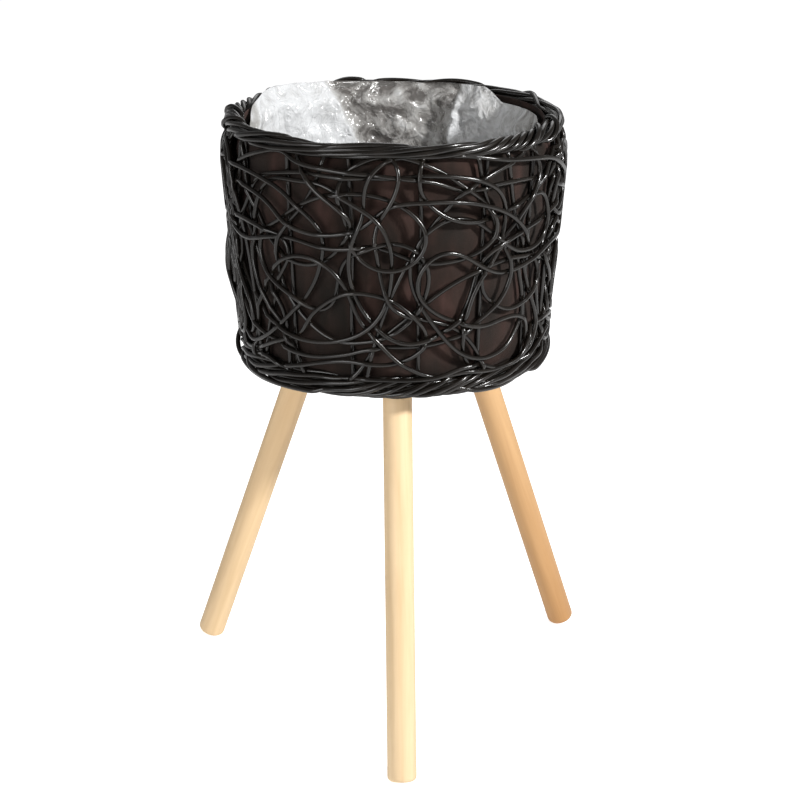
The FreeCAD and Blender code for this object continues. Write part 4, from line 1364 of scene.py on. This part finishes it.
def thread_radius(height, turn):
    """Radius of a hanger bolt at a height on the leg's line and a share of a turn."""
    over = height - LEG_LENGTH
    if over > 0:
        ridge = 1 - abs(2 * ((over / MACHINE_PITCH - turn) % 1) - 1)
        end = BOLT_END_LOSS * step_up(over, BOLT_EXPOSED - BOLT_END_EASE, BOLT_EXPOSED)
        ease = step_up(over, 0, MACHINE_PITCH) * (1 - end)
        return MACHINE_ROOT + (MACHINE_CREST - MACHINE_ROOT) * ridge * ease
    ridge = 1 - min(abs(2 * ((over / WOOD_PITCH - turn) % 1) - 1) * 2, 1)
    taper = BOLT_TIP_SHARE + (1 - BOLT_TIP_SHARE) * step_up(over + BOLT_SUNK, 0, BOLT_TIP_LENGTH)
    return (WOOD_ROOT + (WOOD_CREST - WOOD_ROOT) * ridge * step_up(-over, 0, WOOD_PITCH)) * taper


def bolt_piece(index, bearing):
    """A hanger bolt with both of its threads cut, on the leg's line."""
    tip, end = LEG_LENGTH - BOLT_SUNK, LEG_LENGTH + BOLT_EXPOSED
    rows = []
    for r in range(int((BOLT_SUNK + BOLT_EXPOSED) / BOLT_STEP) + 1):
        height = tip + r * BOLT_STEP
        turns = [i / BOLT_SIDES for i in range(BOLT_SIDES)]
        rows.append([polar(thread_radius(height, turn), FULL_TURN * turn, height) for turn in turns])
    obj = grid_piece(f"threaded_bolt_{index}", rows, Vector((0, 0, tip)), Vector((0, 0, end)))
    obj.data.transform(leg_frame(bearing))
    return obj


def screw_head():
    """A domed screw head with a cross cut into it, drawn at the origin and facing down."""
    head = rod("screw_head", SCREW_SIDES, SCREW_HEAD_RADIUS, -SCREW_HEAD_HEIGHT, 0)
    rounded(head, -SCREW_HEAD_HEIGHT, SCREW_HEAD_HEIGHT * SCREW_DOME_SHARE)
    for across, along in ((SCREW_CROSS_LENGTH, SCREW_CROSS_WIDTH), (SCREW_CROSS_WIDTH, SCREW_CROSS_LENGTH)):
        bpy.ops.object.select_all(action="DESELECT")
        bpy.ops.mesh.primitive_cube_add(size=1, location=(0, 0, -SCREW_HEAD_HEIGHT),
                                        scale=(across, along, 2 * SCREW_CROSS_DEPTH))
        cutter = bpy.context.object
        pick(head)
        cut = head.modifiers.new("cross", "BOOLEAN")
        cut.operation = "DIFFERENCE"
        cut.object = cutter
        bpy.ops.object.modifier_apply(modifier="cross")
        bpy.data.objects.remove(cutter)
    bpy.ops.object.shade_smooth_by_angle(angle=SMOOTH_ANGLE)
    return head


def screw_pieces():
    """Four screws under each leg plate, turned as they were left by the driver."""
    head = screw_head()
    reach = PLATE_SIDE / 2 - SCREW_INSET
    groups = []
    for index, bearing in enumerate(LEG_BEARINGS, 1):
        copies = []
        for along in (-reach, reach):
            for across in (-reach, reach):
                copy = link(head.copy())
                copy.data = head.data.copy()
                place = Matrix.Translation((PLATE_RADIUS + across, along, WALL_BOTTOM - PLATE_THICKNESS))
                spin = Matrix.Rotation(rng.uniform(0, math.pi / 2), 4, "Z")
                copy.data.transform(Matrix.Rotation(math.radians(bearing), 4, "Z") @ place @ spin)
                copies.append(copy)
        bpy.ops.object.select_all(action="DESELECT")
        for copy in copies:
            copy.select_set(True)
        bpy.context.view_layer.objects.active = copies[0]
        bpy.ops.object.join()
        copies[0].name = copies[0].data.name = f"plate_screws_{index}"
        groups.append(copies[0])
    bpy.data.objects.remove(head)
    return groups


def build_basket():
    """Weave, stakes, rims, lining, board and film."""
    cane = cane_material()
    lines = front_lines() + back_lines()
    routes = [[on_wall(p, h) for p, h in zip(line, lift)] for line, lift in zip(lines, settled(lines))]
    routes += edge_lines()
    for k in range(NEST_PIECES):
        piece = cane_piece(f"nest_canes_{k + 1}", routes[k::NEST_PIECES], CANE_DIAMETER)
        finished(piece, cane, "basket", "cane", f"weave_cane_{k + 1}")
    stakes = cane_piece("upright_stakes", stake_lines(), CANE_DIAMETER)
    finished(stakes, cane, "basket", "cane", "wall_stakes")
    top_roll = (TOP_RING_RADIUS, TOP_RING_HEIGHT, TOP_WIND, TOP_ROLL_DEPTH)
    foot_roll = (FOOT_RING_RADIUS, FOOT_RING_HEIGHT + FOOT_ROLL_RISE, FOOT_WIND, FOOT_ROLL_DEPTH)
    top_canes = rim_lines(*top_roll, TOP_RIM_CANES, top_twist, TOP_RIM_SEED)
    foot_canes = rim_lines(*foot_roll, FOOT_RIM_CANES, foot_twist, FOOT_RIM_SEED)
    foot_canes += rim_lines(*foot_roll, FOOT_FILL_CANES, foot_twist, FOOT_FILL_SEED, FOOT_FILL_SHARE)
    core = core_material()
    for rim, rolled, loose in (("top_rim", top_canes, loose_lines(*top_roll, TOP_LOOSE_CANES)),
                               ("foot_rim", foot_canes, loose_lines(*foot_roll, FOOT_LOOSE_CANES))):
        for k in range(RIM_PIECES):
            rings = rolled[k::RIM_PIECES]
            canes = rings + loose[k::RIM_PIECES]
            piece = cane_piece(f"{rim}_twist_{k + 1}", canes, RIM_CANE_DIAMETER, len(rings))
            finished(piece, cane, "basket", "cane", f"{rim}_cane_{k + 1}")
        dressed(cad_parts[f"{rim}_core"], core)
    lining = finished(lining_piece(), lining_material(), "basket", "lining", "cloth_lining")
    film = finished(film_piece(), film_material(), "liner", "film", "film_liner")
    dressed(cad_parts["base_board"], board_material())


def build_legs():
    """Legs, bolts, plates and screws."""
    wood, plate, bolt = dowel_material(), zinc_material("plate_zinc", 1.0), zinc_material("bolt_zinc", 0.9)
    for i, bearing in enumerate(LEG_BEARINGS, 1):
        finished(leg_piece(i, bearing), wood, f"dowel_{i}", "leg_wood", f"leg_{i}")
    for i, bearing in enumerate(LEG_BEARINGS, 1):
        dressed(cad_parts[f"leg_plate_{i}"], plate)
        finished(bolt_piece(i, bearing), bolt, f"bolt_{i}", "bolt_steel", f"hanger_bolt_{i}")
    for screws in screw_pieces():
        finished(screws, bolt, "basket", "bolt_steel")


def studio():
    """A pale floor, a key light from the upper right, two softer lights, and the photograph's camera."""
    scene = bpy.context.scene
    bpy.ops.mesh.primitive_plane_add(size=FLOOR_SIZE)
    floor = bpy.context.object
    floor.name = "studio_floor"
    material, tree, shader = fresh_material("pale_floor")
    seen = add(tree, "ShaderNodeLightPath").outputs["Is Camera Ray"]
    feed(shader, Base_Color=FLOOR_TONE, Roughness=FLOOR_ROUGHNESS, Emission_Color=WHITE,
         Emission_Strength=spread(tree, seen, *FLOOR_GLOW))
    floor.data.materials.append(material)
    scene.world = bpy.data.worlds.new("studio_white")
    scene.world.use_nodes = True
    tree = scene.world.node_tree
    seen = add(tree, "ShaderNodeLightPath").outputs["Is Camera Ray"]
    feed(tree.nodes["Background"], Color=WHITE, Strength=spread(tree, seen, *WORLD_GLOW))
    for name, place, aim, size, power in LIGHTS:
        light = bpy.data.lights.new(name, "AREA")
        light.energy = power
        light.size = size
        lamp = link(bpy.data.objects.new(name, light))
        lamp.location = place
        lamp.rotation_euler = (Vector(aim) - Vector(place)).to_track_quat("-Z", "Y").to_euler()
    camera = bpy.data.cameras.new("camera")
    camera.sensor_width = SENSOR_WIDTH
    camera.lens = FOCAL_PIXELS / IMAGE_SIZE * SENSOR_WIDTH
    eye = link(bpy.data.objects.new("camera", camera))
    eye.location = CAMERA_PLACE
    eye.rotation_euler = (math.pi / 2 - CAMERA_PITCH, 0, 0)
    scene.camera = eye
    scene.view_settings.view_transform = "Standard"


build_basket()
build_legs()
studio()
